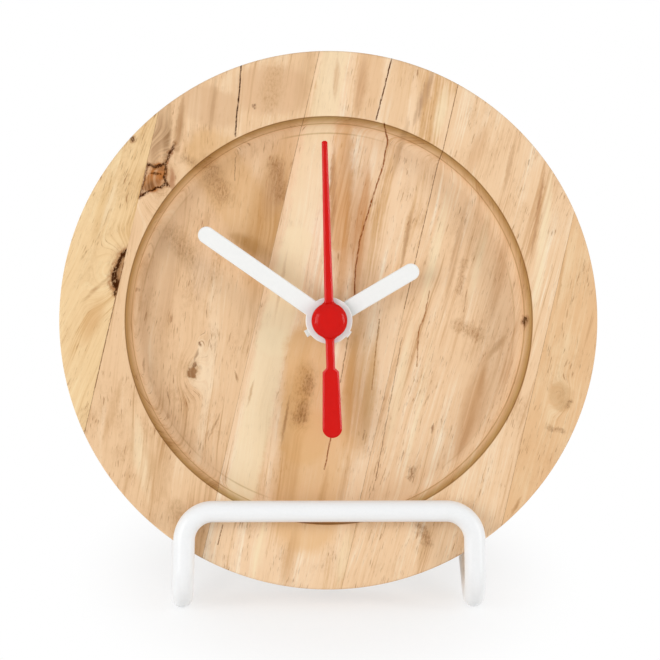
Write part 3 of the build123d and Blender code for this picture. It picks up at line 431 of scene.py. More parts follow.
# What is seen on each stave, from the bottom layer up
STAVE_MARKS = {
    "stave_far_left": [
        ("cloud", ((-57.6, 18.4), (-59, 10)), 4.2, "#B98A5E", 0.9),
        ("patch", ((-57.8, 16.8), (-58.4, 11)), 1.5, "#9A6C44", 0.7),
        ("bark", ((-54.7, 20.6), (-57, 18.7), (-58.9, 15.5), (-59.8, 12.7)), 0.75, BARK, 1),
        ("bark", ((-59.8, 12.7), (-59.4, 9.9), (-58.2, 10.6)), 1.1, BARK, 1),
        ("bark", ((-58.9, 9.6), (-59.5, 7.4)), 0.6, BARK, 0.9),
        ("bark", ((-54.9, 50.8), (-54.6, 50)), 0.5, BARK, 0.8),
        ("streak", ((-69.5, 4.4), (-60.4, 13)), 0.9, BROWN, 0.7),
        ("streak", ((-69, -8), (-62.5, 8)), 3.6, "#D3A56F", 0.8),
        ("streak", ((-66, 20), (-60, 42)), 2.6, "#D9B078", 0.6),
        ("streak", ((-63.8, 24), (-58.6, 40)), 1.8, "#F3DFBC", 0.4),
    ],
    "stave_left": [
        ("smooth", ((-20, 64), (-12, 64)), 8, "#D9B088", 0.65),
        ("smooth", ((-36, 60.5), (-29.6, 58.5)), 6.4, "#D6AE86", 0.7),
        ("smooth", ((-33, 46), (-20, 26)), 9, "#D6A870", 0.5),
        ("cloud", ((-48, 45), (-47, 36)), 5, "#BE9064", 0.7),
        ("patch", ((-47.4, 41.4), (-49.4, 37.8)), 3, "#AE6A30", 1),
        ("patch", ((-50.2, 39), (-51, 37)), 1.5, "#A8713F", 0.9),
        ("patch", ((-48.6, 42.4), (-46.6, 42)), 0.8, "#8C5A30", 0.8),
        ("streak", ((-53, 35.4), (-46, 39.4)), 1.9, "#6E4726", 0.75),
        ("bark", ((-50.4, 43.3), (-48.6, 42.6), (-46.8, 42.9), (-45.3, 44.1)), 0.5, BARK, 1),
        ("bark", ((-49.6, 41), (-47, 40.6)), 0.3, BARK, 0.8),
        ("bark", ((-45.4, 43.6), (-45.8, 39.6), (-44.7, 37.6)), 0.45, "#4A2A14", 0.9),
        ("bark", ((-52.9, 34.2), (-48.7, 36.5), (-45.4, 37.8)), 0.45, BARK, 1),
        ("bark", ((-50.6, 42.6), (-52.5, 35)), 0.35, BARK, 0.7),
        ("bark", ((-45.2, 44.2), (-44.4, 46.6), (-42.7, 49.3)), 0.45, BARK, 0.85),
        ("streak", ((-43.9, 43.4), (-43.6, 35.4)), 1.5, "#A9714A", 0.85),
        ("streak", ((-44.6, 63), (-45.8, 42)), 2, "#96704A", 1),
        ("streak", ((-46.2, 61), (-49.4, 41)), 3.4, "#AD8660", 1),
        ("streak", ((-40.4, 64), (-43, 43)), 1.8, "#B1855A", 0.9),
        ("streak", ((-36.2, 69), (-39, 48)), 2.6, "#EFD6B4", 0.3),
        ("streak", ((-31.6, 70), (-33.4, 50)), 1.8, "#BE956C", 0.8),
        ("streak", ((-4.6, 80), (-9.6, 54)), 3.6, "#BC9062", 0.45),
        ("streak", ((-9.6, 58), (-22.4, 2)), 9, "#BF8A4C", 0.75),
        ("line", ((-24.6, 70.9), (-25.1, 62.8), (-25.7, 58.3), (-26.2, 51.1)), 0.3, BARK, 1),
        ("line", ((-26, 45.5), (-26.2, 39)), 0.16, CRACK, 0.5),
        ("cloud", ((-15.2, 68), (-16.4, 62)), 5.4, "#B98C5C", 0.7),
        ("cloud", ((-20.9, 59.7), (-20.8, 59.3)), 0.8, CRACK, 0.9),
        ("cloud", ((-33.4, 43), (-29.6, 35)), 5, "#9C6C3A", 0.75),
        ("cloud", ((-40.5, 45), (-37.6, 43.6)), 2.2, "#9A7048", 0.7),
        ("streak", ((-13, 46), (-17.4, 26)), 4.4, "#C0946A", 0.7),
        ("cloud", ((-14.6, 43.6), (-13.2, 34.4)), 3.4, "#966636", 0.75),
        ("cloud", ((-43.6, 24.4), (-37.4, 16.6)), 4.8, "#A87C4E", 0.7),
        ("streak", ((-43, 20), (-47.4, -8)), 3, "#CBA27A", 0.6),
        ("streak", ((-55, -22), (-50, -52)), 3.4, CREAM, 0.6),
        ("streak", ((-33, 30), (-37, 2)), 4, "#EBCBA8", 0.7),
        ("streak", ((-28.6, 24.6), (-15, 17.6)), 3.4, "#B98A50", 0.8),
        ("cloud", ((-38.2, -15.2), (-37.8, -13.2)), 2.8, "#B08455", 0.9),
        ("patch", ((-38.2, -15), (-38, -14.4)), 1.5, "#94683F", 0.95),
        ("patch", ((-37.6, -13), (-37.2, -12.2)), 0.5, CRACK, 0.7),
        ("line", ((-36, -6.3), (-36, -6.8)), 0.5, CRACK, 0.8),
        ("streak", ((-37.6, -12), (-36.2, -7.6)), 0.6, CRACK, 0.5),
        ("streak", ((-33.8, -33.4), (-29.6, -25)), 0.5, "#9A6A3C", 0.7),
        ("streak", ((-26.2, -13.8), (-25, -18)), 0.5, "#9A6A3C", 0.7),
        ("streak", ((-57.2, -14), (-63.4, -36)), 1.8, "#CBA073", 0.8),
        ("streak", ((-52, -33), (-44, -52)), 2.6, "#D0A87C", 0.7),
        # A painted shadow: the soft light brown shade that the stand's left corner casts on the wood
        ("cloud", ((-42.7, -51.4), (-41, -55)), 3.2, "#BF986C", 0.7),
        ("streak", ((-51.7, -9.8), (-51.5, -16)), 0.5, "#9A6A3C", 0.6),
    ],
    "stave_middle": [
        ("smooth", ((2, 76), (-8.6, 22)), 4.6, CREAM, 0.6),
        ("smooth", ((-8.6, 22), (-15.6, -6), (-24.4, -48)), 5.2, CREAM, 0.75),
        ("smooth", ((4.4, 53), (2.6, 22)), 3.2, "#D0964E", 0.4),
        ("smooth", ((12, 76), (9.6, 56)), 4.6, "#DDB285", 0.55),
        ("smooth", ((21.4, 74), (17.6, 56)), 4.2, "#E2BA8E", 0.5),
        ("streak", ((-11, 22), (-15.4, -2)), 0.7, BROWN, 0.5),
        ("smooth", ((-5.4, -8), (-7, -34)), 8.2, "#DEB078", 0.75),
        ("smooth", ((-2.4, -34), (-6.4, -56)), 11, "#E0B37E", 0.7),
        ("streak", ((9.8, 4), (6.4, -46)), 7, "#D2A064", 0.85),
        ("streak", ((5.6, 58), (3, 2)), 4.8, "#C68E54", 0.9),
        ("streak", ((1.6, 52), (1, 20)), 1.6, "#AC7440", 0.8),
        ("streak", ((11.4, 50), (7, 2)), 3.6, "#C98B52", 0.9),
        ("streak", ((10.2, 75.4), (7.2, 55)), 2.4, "#C4956A", 0.7),
        ("streak", ((2.4, 74), (1.4, 60)), 1.4, "#CFA47A", 0.7),
        ("streak", ((29.4, 71), (23, 53)), 1.8, "#A98060", 0.85),
        ("streak", ((22.4, 58), (17.6, 38)), 1.6, "#B98F66", 0.6),
        ("streak", ((33.2, 68), (28.8, 48)), 2.4, CREAM, 0.8),
        ("streak", ((24, 34), (20, 12)), 1, "#A97A4C", 0.7),
        ("line", ((17.7, 74.4), (14.4, 61.4), (13, 55.9)), 0.28, "#5A3012", 1),
        ("line", ((15.2, 54.9), (16.7, 50.6), (15.4, 43.3), (12.1, 33.1), (8.8, 22), (7.6, 13.6), (7.4, 6.2)),
         0.30, RED_LINE, 0.95),
        ("streak", ((-6, -4), (-11.4, -44)), 6.4, "#CE9C60", 0.6),
        ("cloud", ((-6, -14.6), (-8.2, -28)), 4.4, "#A9783E", 0.75),
        ("cloud", ((-5.3, -16.6), (-5.8, -19.6)), 2.4, "#86582C", 0.7),
        ("cloud", ((-7, -24.4), (-7.4, -27.4)), 2.8, "#86582C", 0.8),
        ("streak", ((-10.4, -19.6), (-13.7, -37.4)), 0.7, "#9A6C3E", 0.7),
        ("streak", ((-11.4, -30), (-15.6, -58)), 3.4, "#C89458", 0.85),
        ("streak", ((-8, -30), (-12, -58)), 3, "#C89458", 0.6),
        ("streak", ((0.4, -40), (-3.4, -58)), 1.6, "#C48E56", 0.6),
        ("streak", ((6.4, -36), (2.6, -56)), 1.8, "#C8945C", 0.6),
        ("streak", ((-20.6, -16), (-23, -25)), 0.7, "#C09468", 0.8),
        ("line", ((0.8, -32.9), (-0.1, -37.4), (-0.9, -41.9)), 0.28, RED_LINE, 0.9),
        ("line", ((5.8, -4), (3.5, -17.4)), 0.24, "#7A5230", 0.7),
        ("line", ((14.4, 0.2), (13.4, -9), (12.3, -19.4)), 0.3, "#8A5A32", 0.75),
        ("streak", ((7.4, 4), (5.4, -36)), 3, "#C4904F", 0.6),
        ("streak", ((14.6, 2), (9.6, -40)), 2.4, "#C99A60", 0.6),
        ("line", ((10.4, -31), (9.8, -33.6)), 0.3, "#8A5A32", 0.5),
        ("line", ((-29.6, -56.9), (-31, -62.4)), 0.22, CRACK, 0.8),
        ("streak", ((-8.6, -56), (-13.4, -76)), 3, "#CFA272", 0.8),
        ("streak", ((-17.4, -54), (-21.8, -74)), 2.2, CREAM, 0.8),
        ("streak", ((6, -56), (2, -76)), 2.6, CREAM, 0.6),
    ],
    "stave_right": [
        ("streak", ((24.4, 4), (15.6, -42)), 2.4, CREAM, 0.6),
        ("streak", ((30.6, 0), (21, -46)), 1.8, CREAM, 0.5),
        ("streak", ((34.6, 40), (25, -4)), 2.2, CREAM, 0.8),
        ("streak", ((39.4, 36), (31.6, -2)), 1.6, "#BE9064", 0.7),
        ("streak", ((46, 34), (39, 2)), 2, CREAM, 0.6),
        ("streak", ((50.6, 26), (45, -4)), 2.4, "#C99A6C", 0.7),
        ("line", ((20.8, -5), (13.4, -45)), 0.22, CRACK, 0.5),
        ("line", ((28.5, 8.2), (27.2, 1.5), (25.4, -3.4), (25, -13)), 0.26, "#9A6234", 0.75),
        ("cloud", ((36.4, -1.6), (42.4, -4.2)), 2.8, "#A06F3C", 0.7),
        ("cloud", ((38.4, 17), (37, 8)), 1.6, "#A97A50", 0.7),
        ("streak", ((51, -3), (44, -12), (42, -24), (36, -40)), 1.3, "#B88A5C", 0.6),
        ("streak", ((29.8, -28.6), (29.1, -32.4)), 0.7, "#8A5A30", 0.8),
        ("cloud", ((24, -42), (23.2, -44.2)), 1.4, "#8F6236", 0.9),
        ("streak", ((45.4, -6), (35.6, -42)), 4.4, "#CF9F70", 0.8),
        ("bark", ((55.3, 0.8), (54.9, -1)), 0.5, "#5A3A1E", 0.85),
        ("streak", ((62.6, 48), (56.6, -4)), 2.2, CREAM, 0.85),
        ("streak", ((60.6, 46), (55.8, 14)), 0.8, "#B07F54", 0.85),
        ("streak", ((52, 52), (48.4, 34)), 1, "#B98E66", 0.7),
        ("streak", ((44.6, 56), (37.4, 38)), 3, "#D3A67A", 0.7),
        ("streak", ((28.4, -54), (24.6, -71)), 2, "#C0925F", 0.7),
        ("cloud", ((25.4, -57), (27.6, -62)), 2.4, "#8F5F30", 0.85),
    ],
    "stave_far_right": [
        ("smooth", ((64.6, -20.2), (65, -22.6)), 3.8, "#CFA473", 0.55),
        ("cloud", ((65, -20.4), (65.4, -22.8)), 3, "#B08455", 0.5),
        ("cloud", ((66.6, -23.4), (67.2, -22.6)), 1.2, "#7A5530", 0.8),
        ("cloud", ((61.6, -30), (65.2, -30.8)), 1.3, "#8E6238", 0.7),
        ("streak", ((66.4, 24), (63, 0)), 0.5, BROWN, 0.7),
        ("streak", ((54, -48.6), (50.4, -55)), 0.7, BROWN, 0.8),
    ],
}


def growth_rings(add, grain, seeded, look):
    """How far a place is from the pith, which sways along the grain and is pulled out round each knot."""
    across, along = SWAY_SIZE
    sway = add("VectorMath.MULTIPLY", {0: seeded, 1: (1 / across, 1 / along, 1 / across)})
    sway = add("TexNoise", {"Scale": 1.0, "Detail": SWAY_DETAIL, "Vector": sway})
    sway = add("Math.MULTIPLY_ADD", {0: sway, 1: look["sway"], 2: -look["sway"] / 2 - look["pith"]})
    parts = add("SeparateXYZ", {0: grain}).outputs
    from_pith = add("Math.ADD", {0: parts["X"], 1: sway})
    depth = add("Math.ADD", {0: parts["Z"], 1: PITH_DEPTH})
    spread = add("CombineXYZ", {0: from_pith, 1: depth})
    ring = add("VectorMath.LENGTH", {0: spread})
    cos, sin = math.cos(math.radians(look["lean"])), math.sin(math.radians(look["lean"]))
    for right, up, reach in look["knots"]:
        middle = Vector((right * cos - up * sin, right * sin + up * cos, 0.0))
        away = add("VectorMath.SUBTRACT", {0: grain, 1: middle})
        away = add("VectorMath.MULTIPLY", {0: away, 1: (1.0, KNOT_STRETCH, 0.0)})
        away = add("VectorMath.LENGTH", {0: away})
        pull = add("MapRange", {"interpolation_type": "SMOOTHSTEP", "Value": away, "From Max": reach,
                                "To Min": 1.0, "To Max": 0.0})
        ring = add("Math.MULTIPLY_ADD", {0: pull, 1: reach * KNOT_PULL, 2: ring})
    return ring


def marked(add, place, flat, marks, figure):
    """The figure's colour and height with the marks on them."""
    tremor = add("TexNoise", {"Scale": TREMOR_SCALE, "Detail": TREMOR_DETAIL, "Roughness": TREMOR_ROUGHNESS,
                              "Vector": place}).outputs["Color"]
    places = {}
    for kind, (_, _, rough, _, _) in MARK_KINDS.items():
        shaken = add("VectorMath.MULTIPLY_ADD", {0: tremor, 1: (rough, rough, 0.0),
                                                 2: (-rough / 2, -rough / 2, 0.0)})
        places[kind] = add("VectorMath.ADD", {0: flat, 1: shaken})
    halos = [(kind, line, half_width * HALO_WIDTH, RED_LINE, HALO_STRENGTH)
             for kind, line, half_width, *_ in marks if kind == "bark"]
    colour, height = figure.outputs["Color"], figure.outputs["Height"]
    for kind, line, half_width, tint, strength in halos + marks:
        core, taper, _, broken, dent = MARK_KINDS[kind]
        for start, end in zip(line, line[1:]):
            run = Vector(end) - Vector(start)
            cover = add("Group", {"node_tree": STROKE, "Place": places[kind], "Start": (*start, 0.0),
                                  "Direction": (*run.normalized(), 0.0), "Length": run.length,
                                  "Half Width": half_width, "Core": half_width * core, "Taper": taper})
            cover = add("Math.MULTIPLY", {0: cover, 1: strength})
            if broken:
                cover = add("Math.MULTIPLY", {0: cover, 1: figure.outputs[broken]})
            colour = add("Mix", {"data_type": "RGBA", 0: cover, 6: colour, 7: linear(tint)})
            if dent:
                height = add("Math.SUBTRACT", {0: height, 1: cover})
    return colour, height


def recess_shade_and_oil(add, place, flat, colour):
    """The colour with painted shade on the turned wall, below its lip and in its crease, together with its end
    grain that takes more oil, and with a thin ring near the cove's foot darker.
    """
    radius = add("VectorMath.LENGTH", {0: flat})
    out = add("SeparateXYZ", {0: place}).outputs["Z"]
    inner = add("Math.LESS_THAN", {0: radius, 1: RECESS_RADIUS + WALL_MARGIN})
    covers = []
    # Painted shade on the recess wall, with its oiled end grain, multiplied in band by band
    for (top, full), (gone, foot), tint, strength in WALL_SHADE_AND_OIL_BANDS:
        below = add("MapRange", {"Value": out, "From Min": top, "From Max": full})
        above = add("MapRange", {"Value": out, "From Min": gone, "From Max": foot, "To Max": strength})
        covers.append((below, above, inner, tint))
    # A thin darker ring near the cove's foot, broken up by noise
    foot_ring_breaks = add("TexNoise", {"Scale": 1 / FOOT_RING_BREAK_SIZE, "Detail": FOOT_RING_BREAK_DETAIL, "Vector": place})
    foot_ring_breaks = add("MapRange", {"Value": foot_ring_breaks, "From Min": FOOT_RING_BREAK_STEP[0], "From Max": FOOT_RING_BREAK_STEP[1]})
    off = add("Math.SUBTRACT", {0: radius, 1: COVE_FOOT_RING_RADIUS})
    off = add("Math.ABSOLUTE", {0: off})
    cove_foot_ring = add("MapRange", {"Value": off, "From Min": COVE_FOOT_RING_EDGES[0], "From Max": COVE_FOOT_RING_EDGES[1],
                              "To Min": COVE_FOOT_RING_STRENGTH, "To Max": 0.0})
    dial_side = add("Math.GREATER_THAN", {0: out, 1: -RECESS_DEPTH - WEB_THICKNESS / 2})
    covers.append((cove_foot_ring, foot_ring_breaks, dial_side, WALL_TINT))
    for first, second, third, tint in covers:
        cover = add("Math.MULTIPLY", {0: first, 1: second})
        cover = add("Math.MULTIPLY", {0: cover, 1: third})
        colour = add("Mix", {"data_type": "RGBA", "blend_type": "MULTIPLY", 0: cover, 6: colour,
                             7: linear(tint)})
    return colour


def teak(name, look):
    """Oiled teak: satin and warm, with grain that flows round its knots, dark checks and glue lines."""
    material, add, shader = new_material("oiled_teak_" + name.removeprefix("stave_"))
    place = add("Mapping", {"vector_type": "TEXTURE", "Vector": add("TexCoord").outputs["Object"],
                            "Location": CENTRE, "Rotation": DIAL_TURN, "Scale": (MM, MM, MM)})
    grain = add("VectorRotate", {"rotation_type": "Z_AXIS", "Vector": place,
                                 "Angle": math.radians(look["lean"])})
    seeded = add("VectorMath.ADD", {0: grain, 1: (look["seed"] * SEED_STRIDE,) * 3})
    pale, middle, deep = (linear(colour) for colour in look["colours"])
    figure = add("Group", {"node_tree": FIGURE, "Ring": growth_rings(add, grain, seeded, look),
                           "Grain": seeded, "Bands": look["bands"], "Mottle": look["mottle"], "Pale": pale,
                           "Middle": middle, "Deep": deep})
    flat = add("VectorMath.MULTIPLY", {0: place, 1: (1.0, 1.0, 0.0)})
    marks = STAVE_MARKS[name] + [mark for joint in look["joints"] for mark in JOINT_MARKS[joint]]
    colour, height = marked(add, place, flat, marks, figure)
    gloss = add("MapRange", {"Value": height, "From Min": TEAK_HEIGHTS[0], "From Max": TEAK_HEIGHTS[1],
                             "To Min": TEAK_ROUGHNESS[0], "To Max": TEAK_ROUGHNESS[1]})
    # Oil sinks into cracks and pores, so they have no shine of their own
    shine = add("MapRange", {"Value": height, "From Min": SHINE_HEIGHTS[0], "From Max": SHINE_HEIGHTS[1],
                             "To Max": TEAK_SHINE})
    bump = add("Bump", {"Strength": TEAK_BUMP, "Distance": TEAK_GRAIN_DEPTH * MM, "Height": height})
    feed(shader, {"Base Color": recess_shade_and_oil(add, place, flat, colour), "Roughness": gloss, "Normal": bump,
                  "Specular IOR Level": shine})
    return material


# The other finishes

# A cell's bands in millimetres, the grain of its sleeve, its range of roughness and the tints of its parts
CELL_BAND = 14.0
CELL_END = 1.4
CELL_GRAIN, CELL_DETAIL, CELL_ROUGHNESS = 0.9, 3.0, (0.22, 0.34)
CELL_TINTS = (("#24272C", "#2F333A"), ("#A8703C", "#BA8048"), ("#A9A9A6", "#BDBDBA"))


def cell_sleeve():
    """A cell's shrink sleeve: dark with a copper-coloured end, and bare nickelled steel at both ends."""
    material, add, shader = new_material("printed_cell_sleeve")
    low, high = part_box("battery")
    place = add("TexCoord").outputs["Object"]
    along = add("SeparateXYZ", {0: place}).outputs["X"]
    fine = add("TexNoise", {"Scale": 1 / (CELL_GRAIN * MM), "Detail": CELL_DETAIL, "Vector": place})
    dark, copper, bare = (
        add("Mix", {"data_type": "RGBA", 0: fine, 6: linear(first), 7: linear(second)})
        for first, second in CELL_TINTS)
    banded = add("Math.GREATER_THAN", {0: along, 1: high.x - CELL_BAND * MM})
    sleeve = add("Mix", {"data_type": "RGBA", 0: banded, 6: dark, 7: copper})
    middle = add("Math.SUBTRACT", {0: along, 1: (low.x + high.x) / 2})
    middle = add("Math.ABSOLUTE", {0: middle})
    end = add("Math.GREATER_THAN", {0: middle, 1: (high.x - low.x) / 2 - CELL_END * MM})
    colour = add("Mix", {"data_type": "RGBA", 0: end, 6: sleeve, 7: bare})
    gloss = add("MapRange", {"Value": fine, "To Min": CELL_ROUGHNESS[0], "To Max": CELL_ROUGHNESS[1]})
    feed(shader, {"Base Color": colour, "Metallic": end, "Roughness": gloss})
    return material


woods = {name: teak(name, look) for name, look in STAVE_LOOKS.items()}
# By slot. A speckled finish has its darker and lighter colour, roughness, and grain and bump in millimetres.
FINISHES = {
    # Powder coat on steel rod: a thick, even white skin with a faint orange peel and a broad, soft shine
    "white_coat": speckled("powder_coat_white", "#ECEEEF", "#F3F4F5", 0.35, 0.5, 0.01),
    # Stoved enamel on thin sheet: clean, slightly warm white with a soft sheen
    "white_paint": speckled("enamel_white", "#EAEBE9", "#F0F0EE", 0.35, 0.8, 0.004),
    # Moulded gloss polystyrene: deep, even red with small sharp lights on its dome and bevels
    "red_plastic": speckled("moulded_red_gloss", "#C80E08", "#D4120B", 0.12, 1.5, 0.001, specular=0.12),
    # Turned brass: yellow metal, dulled a little by handling
    "brass": speckled("turned_brass", "#B08A45", "#D6B26A", 0.32, 0.6, 0.004, metallic=1.0),
    # Cold rolled steel: grey metal with a fine, blurred shine
    "steel": speckled("rolled_steel", "#9A9A9C", "#B9B9BB", 0.35, 0.5, 0.004, metallic=1.0),
    # Vulcanised rubber: near black and matte, with a dusty grain
    "rubber": speckled("black_rubber", "#121212", "#1E1E1E", 0.8, 0.4, 0.02),
    # ABS from a spark-eroded mould: black with a fine matte grit that breaks up its shine
    "black_plastic": speckled("moulded_black_eroded", "#141415", "#222224", 0.55, 0.35, 0.02),
    # Natural acetal: milky and slightly waxy, as small gears are
    "gear_plastic": speckled("natural_acetal", "#DDD9CC", "#EDEAE0", 0.42, 0.7, 0.004),
    # Solder mask on glass laminate: dark green, with the weave just showing through
    "board": speckled("green_solder_mask", "#174A26", "#24643A", 0.38, 0.9, 0.01),
    # Enamelled copper wire: reddish metal in fine turns, each with its own glint
    "copper": speckled("enamelled_copper_wire", "#8F4322", "#C06A3C", 0.3, 0.15, 0.03, metallic=1.0),
    # Sintered magnet: dark grey and grainy, with little shine
    "magnet": speckled("sintered_magnet", "#2B2B2D", "#3F3F42", 0.5, 0.2, 0.01, metallic=0.8),
    "cell_wrap": cell_sleeve(),
}
slot_of = {part["node"]: part["material_slot"] for part in frame["record"]["subparts"]}
for name, node in frame["nodes"].items():
    node.data.materials.clear()
    node.data.materials.append(woods.get(name) or FINISHES[slot_of[name]])


# Wooden disc, turned as one and cut at its glue joints

def arc(centre, radius, start, end, steps=ARC_STEPS):
    """Points of an arc between two angles in degrees."""
    angles = [math.radians(start + (end - start) * i / steps) for i in range(steps + 1)]
    return [(centre[0] + radius * math.cos(a), centre[1] + radius * math.sin(a)) for a in angles]


def disc_profile():
    """The turned section as distances from the axis and out of the rim, in millimetres."""
    floor_radius = RECESS_RADIUS - RECESS_DRAFT - COVE_RADIUS
    pocket_floor = -RECESS_DEPTH - WEB_THICKNESS
    edge = DISC_RADIUS - EDGE_ROUND
    points = [(BUSH_HOLE_RADIUS, -RECESS_DEPTH)]
    points += arc((floor_radius, COVE_RADIUS - RECESS_DEPTH), COVE_RADIUS, -90, 0)
    points += arc((RECESS_RADIUS + LIP_ROUND, -LIP_ROUND), LIP_ROUND, 180, 90)
    points += arc((edge, -EDGE_ROUND), EDGE_ROUND, 90, 0)
    points += arc((edge, EDGE_ROUND - DISC_THICKNESS), EDGE_ROUND, 0, -90)
    points += [(POCKET_RADIUS, -DISC_THICKNESS), (POCKET_RADIUS, pocket_floor),
               (BUSH_HOLE_RADIUS, pocket_floor)]
    return points


def turned(bm, profile, steps):
    """A closed section turned round the hand axis."""
    rings = []
    for step in range(steps):
        angle = 2 * math.pi * step / steps
        cos, sin = math.cos(angle), math.sin(angle)
        rings.append([bm.verts.new(on_dial(r * cos, r * sin, n)) for r, n in profile])
    for ring, following in zip(rings, rings[1:] + rings[:1]):
        for i in range(len(profile)):
            j = (i + 1) % len(profile)
            bm.faces.new((ring[i], ring[j], following[j], following[i]))


def cut_at(bm, place, keep_right):
    """Cuts the disc at a glue joint, keeps one side and closes it."""
    found = bmesh.ops.bisect_plane(
        bm, geom=bm.verts[:] + bm.edges[:] + bm.faces[:], dist=MERGE_DISTANCE,
        plane_co=CENTRE + STAVE_ACROSS * place * MM, plane_no=STAVE_ACROSS,
        clear_inner=keep_right, clear_outer=not keep_right)
    edges = [e for e in found["geom_cut"] if isinstance(e, bmesh.types.BMEdge)]
    bmesh.ops.edgeloop_fill(bm, edges=edges)


for index, (name, wood) in enumerate(woods.items()):
    disc = bmesh.new()
    turned(disc, disc_profile(), TURNING_STEPS)
    if index > 0:
        cut_at(disc, JOINT_PLACES[index - 1], True)
    if index < len(JOINT_PLACES):
        cut_at(disc, JOINT_PLACES[index], False)
    stave = "turned_" + name
    finish_piece(stave, mesh_from(stave, disc), "clock", wood, [name])


# Stand: one rod bent by rule along its corners

def stand_corners():
    """The rod's corners with their bend radii, all the way round, in metres."""
    foot = Vector((0.0, (FOOT_BEND - REAR_REACH) / 2, FOOT_BEND + ROD_RADIUS)) * MM
    edge_right = LEG_HALF_SPACING - ROD_RADIUS * LEG_HALF_SPACING / DISC_RADIUS
    edge = on_dial(0.0, -math.sqrt(DISC_RADIUS ** 2 - edge_right ** 2), -DISC_THICKNESS)
    reach = edge - foot
    rise = math.atan2(reach.z, reach.y)
    rise += math.asin((FOOT_BEND - ROD_RADIUS - SEAT_GAP) * MM / reach.length)
    along = Vector((0.0, math.cos(rise), math.sin(rise)))
    start = foot - Vector((0.0, -math.sin(rise), math.cos(rise))) * FOOT_BEND * MM

    def on_seat(out):
        """Where the seat line is at a distance out of the rim."""
        return start + along * ((out * MM - (start - CENTRE).dot(OUT)) / along.dot(OUT))

    leg_out = FRONT_GAP + ROD_RADIUS
    rest_out = -(DISC_THICKNESS + BACK_GAP + ROD_RADIUS)
    bar_right = LEG_HALF_SPACING - (FOOT_DROP - BAR_DROP) * math.tan(LEG_SPLAY)
    leg = RIGHT * LEG_HALF_SPACING * MM
    rear = Vector((0.0, foot.y + REAR_REACH * MM, ROD_RADIUS * MM))
    half = [
        (on_dial(bar_right, -BAR_DROP, leg_out), CORNER_BEND),
        (on_seat(leg_out) + leg, FOOT_BEND),
        (on_seat(rest_out) + leg, SEAT_BEND),
        (on_dial(LEG_HALF_SPACING, REST_RISE, rest_out), TOP_BEND),
        (rear + leg, CORNER_BEND),
    ]
    return half + [(Vector((-p.x, p.y, p.z)), bend) for p, bend in reversed(half)]


def rod_rule():
    """Geometry Nodes that bend a rod: each corner is rounded by its own radius, then the section is swept."""
    tree, add, given, result = socket_group("bent_rod", {
        "Route": "Geometry", "Rod Radius": "Float", "Bend Steps": "Int", "Section Sides": "Int",
        "Coating": "Material"}, {"Rod": "Geometry"}, "GeometryNodeTree")
    rounded = add("GeometryNodeFilletCurve", {"mode": "POLY", "Curve": given["Route"],
                                              "Count": given["Bend Steps"],
                                              "Radius": add("GeometryNodeInputRadius")})
    even = add("GeometryNodeSetCurveRadius", {"Curve": rounded, "Radius": 1.0})
    section = add("GeometryNodeCurvePrimitiveCircle", {"Radius": given["Rod Radius"],
                                                       "Resolution": given["Section Sides"]})
    swept = add("GeometryNodeCurveToMesh", {"Curve": even, "Profile Curve": section})
    real = add("GeometryNodeRealizeInstances", {"Geometry": swept})
    feed(result, {"Rod": add("GeometryNodeSetMaterial", {"Geometry": real, "Material": given["Coating"]})})
    return tree


def made_by_rule(name, base, tree, values):
    """The plain mesh that a Geometry Nodes tree makes from a base object, which is then removed."""
    maker = in_scene(name, base)
    modifier = maker.modifiers.new("rule", "NODES")
    modifier.node_group = tree
    for item in tree.interface.items_tree:
        if item.in_out == "INPUT" and item.name in values:
            modifier[item.identifier] = values[item.name]
    maker.update_tag()
    depsgraph = bpy.context.evaluated_depsgraph_get()
    mesh = bpy.data.meshes.new_from_object(maker.evaluated_get(depsgraph))
    maker.modifiers.remove(modifier)
    bpy.data.objects.remove(maker)
    return mesh


def stand_route():
    """The rod's corners as a closed curve, with each bend in its point's radius."""
    corners = stand_corners()
    curve = bpy.data.curves.new("stand_route", "CURVE")
    curve.dimensions = "3D"
    spline = curve.splines.new("POLY")
    spline.points.add(len(corners) - 1)
    for point, (place, bend) in zip(spline.points, corners):
        point.co = (*place, 1.0)
        point.radius = bend * MM
    spline.use_cyclic_u = True
    return curve


rod = made_by_rule("stand_maker", stand_route(), rod_rule(), {
    "Rod Radius": (ROD_RADIUS - COAT_SLACK) * MM, "Bend Steps": BEND_STEPS, "Section Sides": SECTION_SIDES,
    "Coating": FINISHES["white_coat"]})
finish_piece("bent_rod_stand", rod, "stand", FINISHES["white_coat"], ["stand"])


# Second hand: moulded blade and counterweight with broad bevels, joined to a domed cap by small flares

def moulded(bm, outline, bearing):
    """A bar from one half of its outline, mirrored, with bevelled edges."""
    across = RIGHT * math.cos(bearing) - UP * math.sin(bearing)
    along = RIGHT * math.sin(bearing) + UP * math.cos(bearing)
    whole = outline + [(-x, y) for x, y in reversed(outline) if x > 0]
    foot = CENTRE + OUT * SECOND_BASE * MM
    base = [bm.verts.new(foot + (across * x + along * y) * MM) for x, y in whole]
    floor = bm.faces.new(base)
    raised = bmesh.ops.extrude_face_region(bm, geom=[floor])["geom"]
    rise = OUT * (SECOND_THICKNESS - SECOND_BEVEL) * MM
    bmesh.ops.translate(bm, verts=[v for v in raised if isinstance(v, bmesh.types.BMVert)], vec=rise)
    top = next(f for f in raised if isinstance(f, bmesh.types.BMFace))
    bmesh.ops.recalc_face_normals(bm, faces=bm.faces)
    bmesh.ops.inset_region(bm, faces=[top], thickness=BEVEL_WIDTH * MM, depth=SECOND_BEVEL * MM,
                           use_even_offset=True)


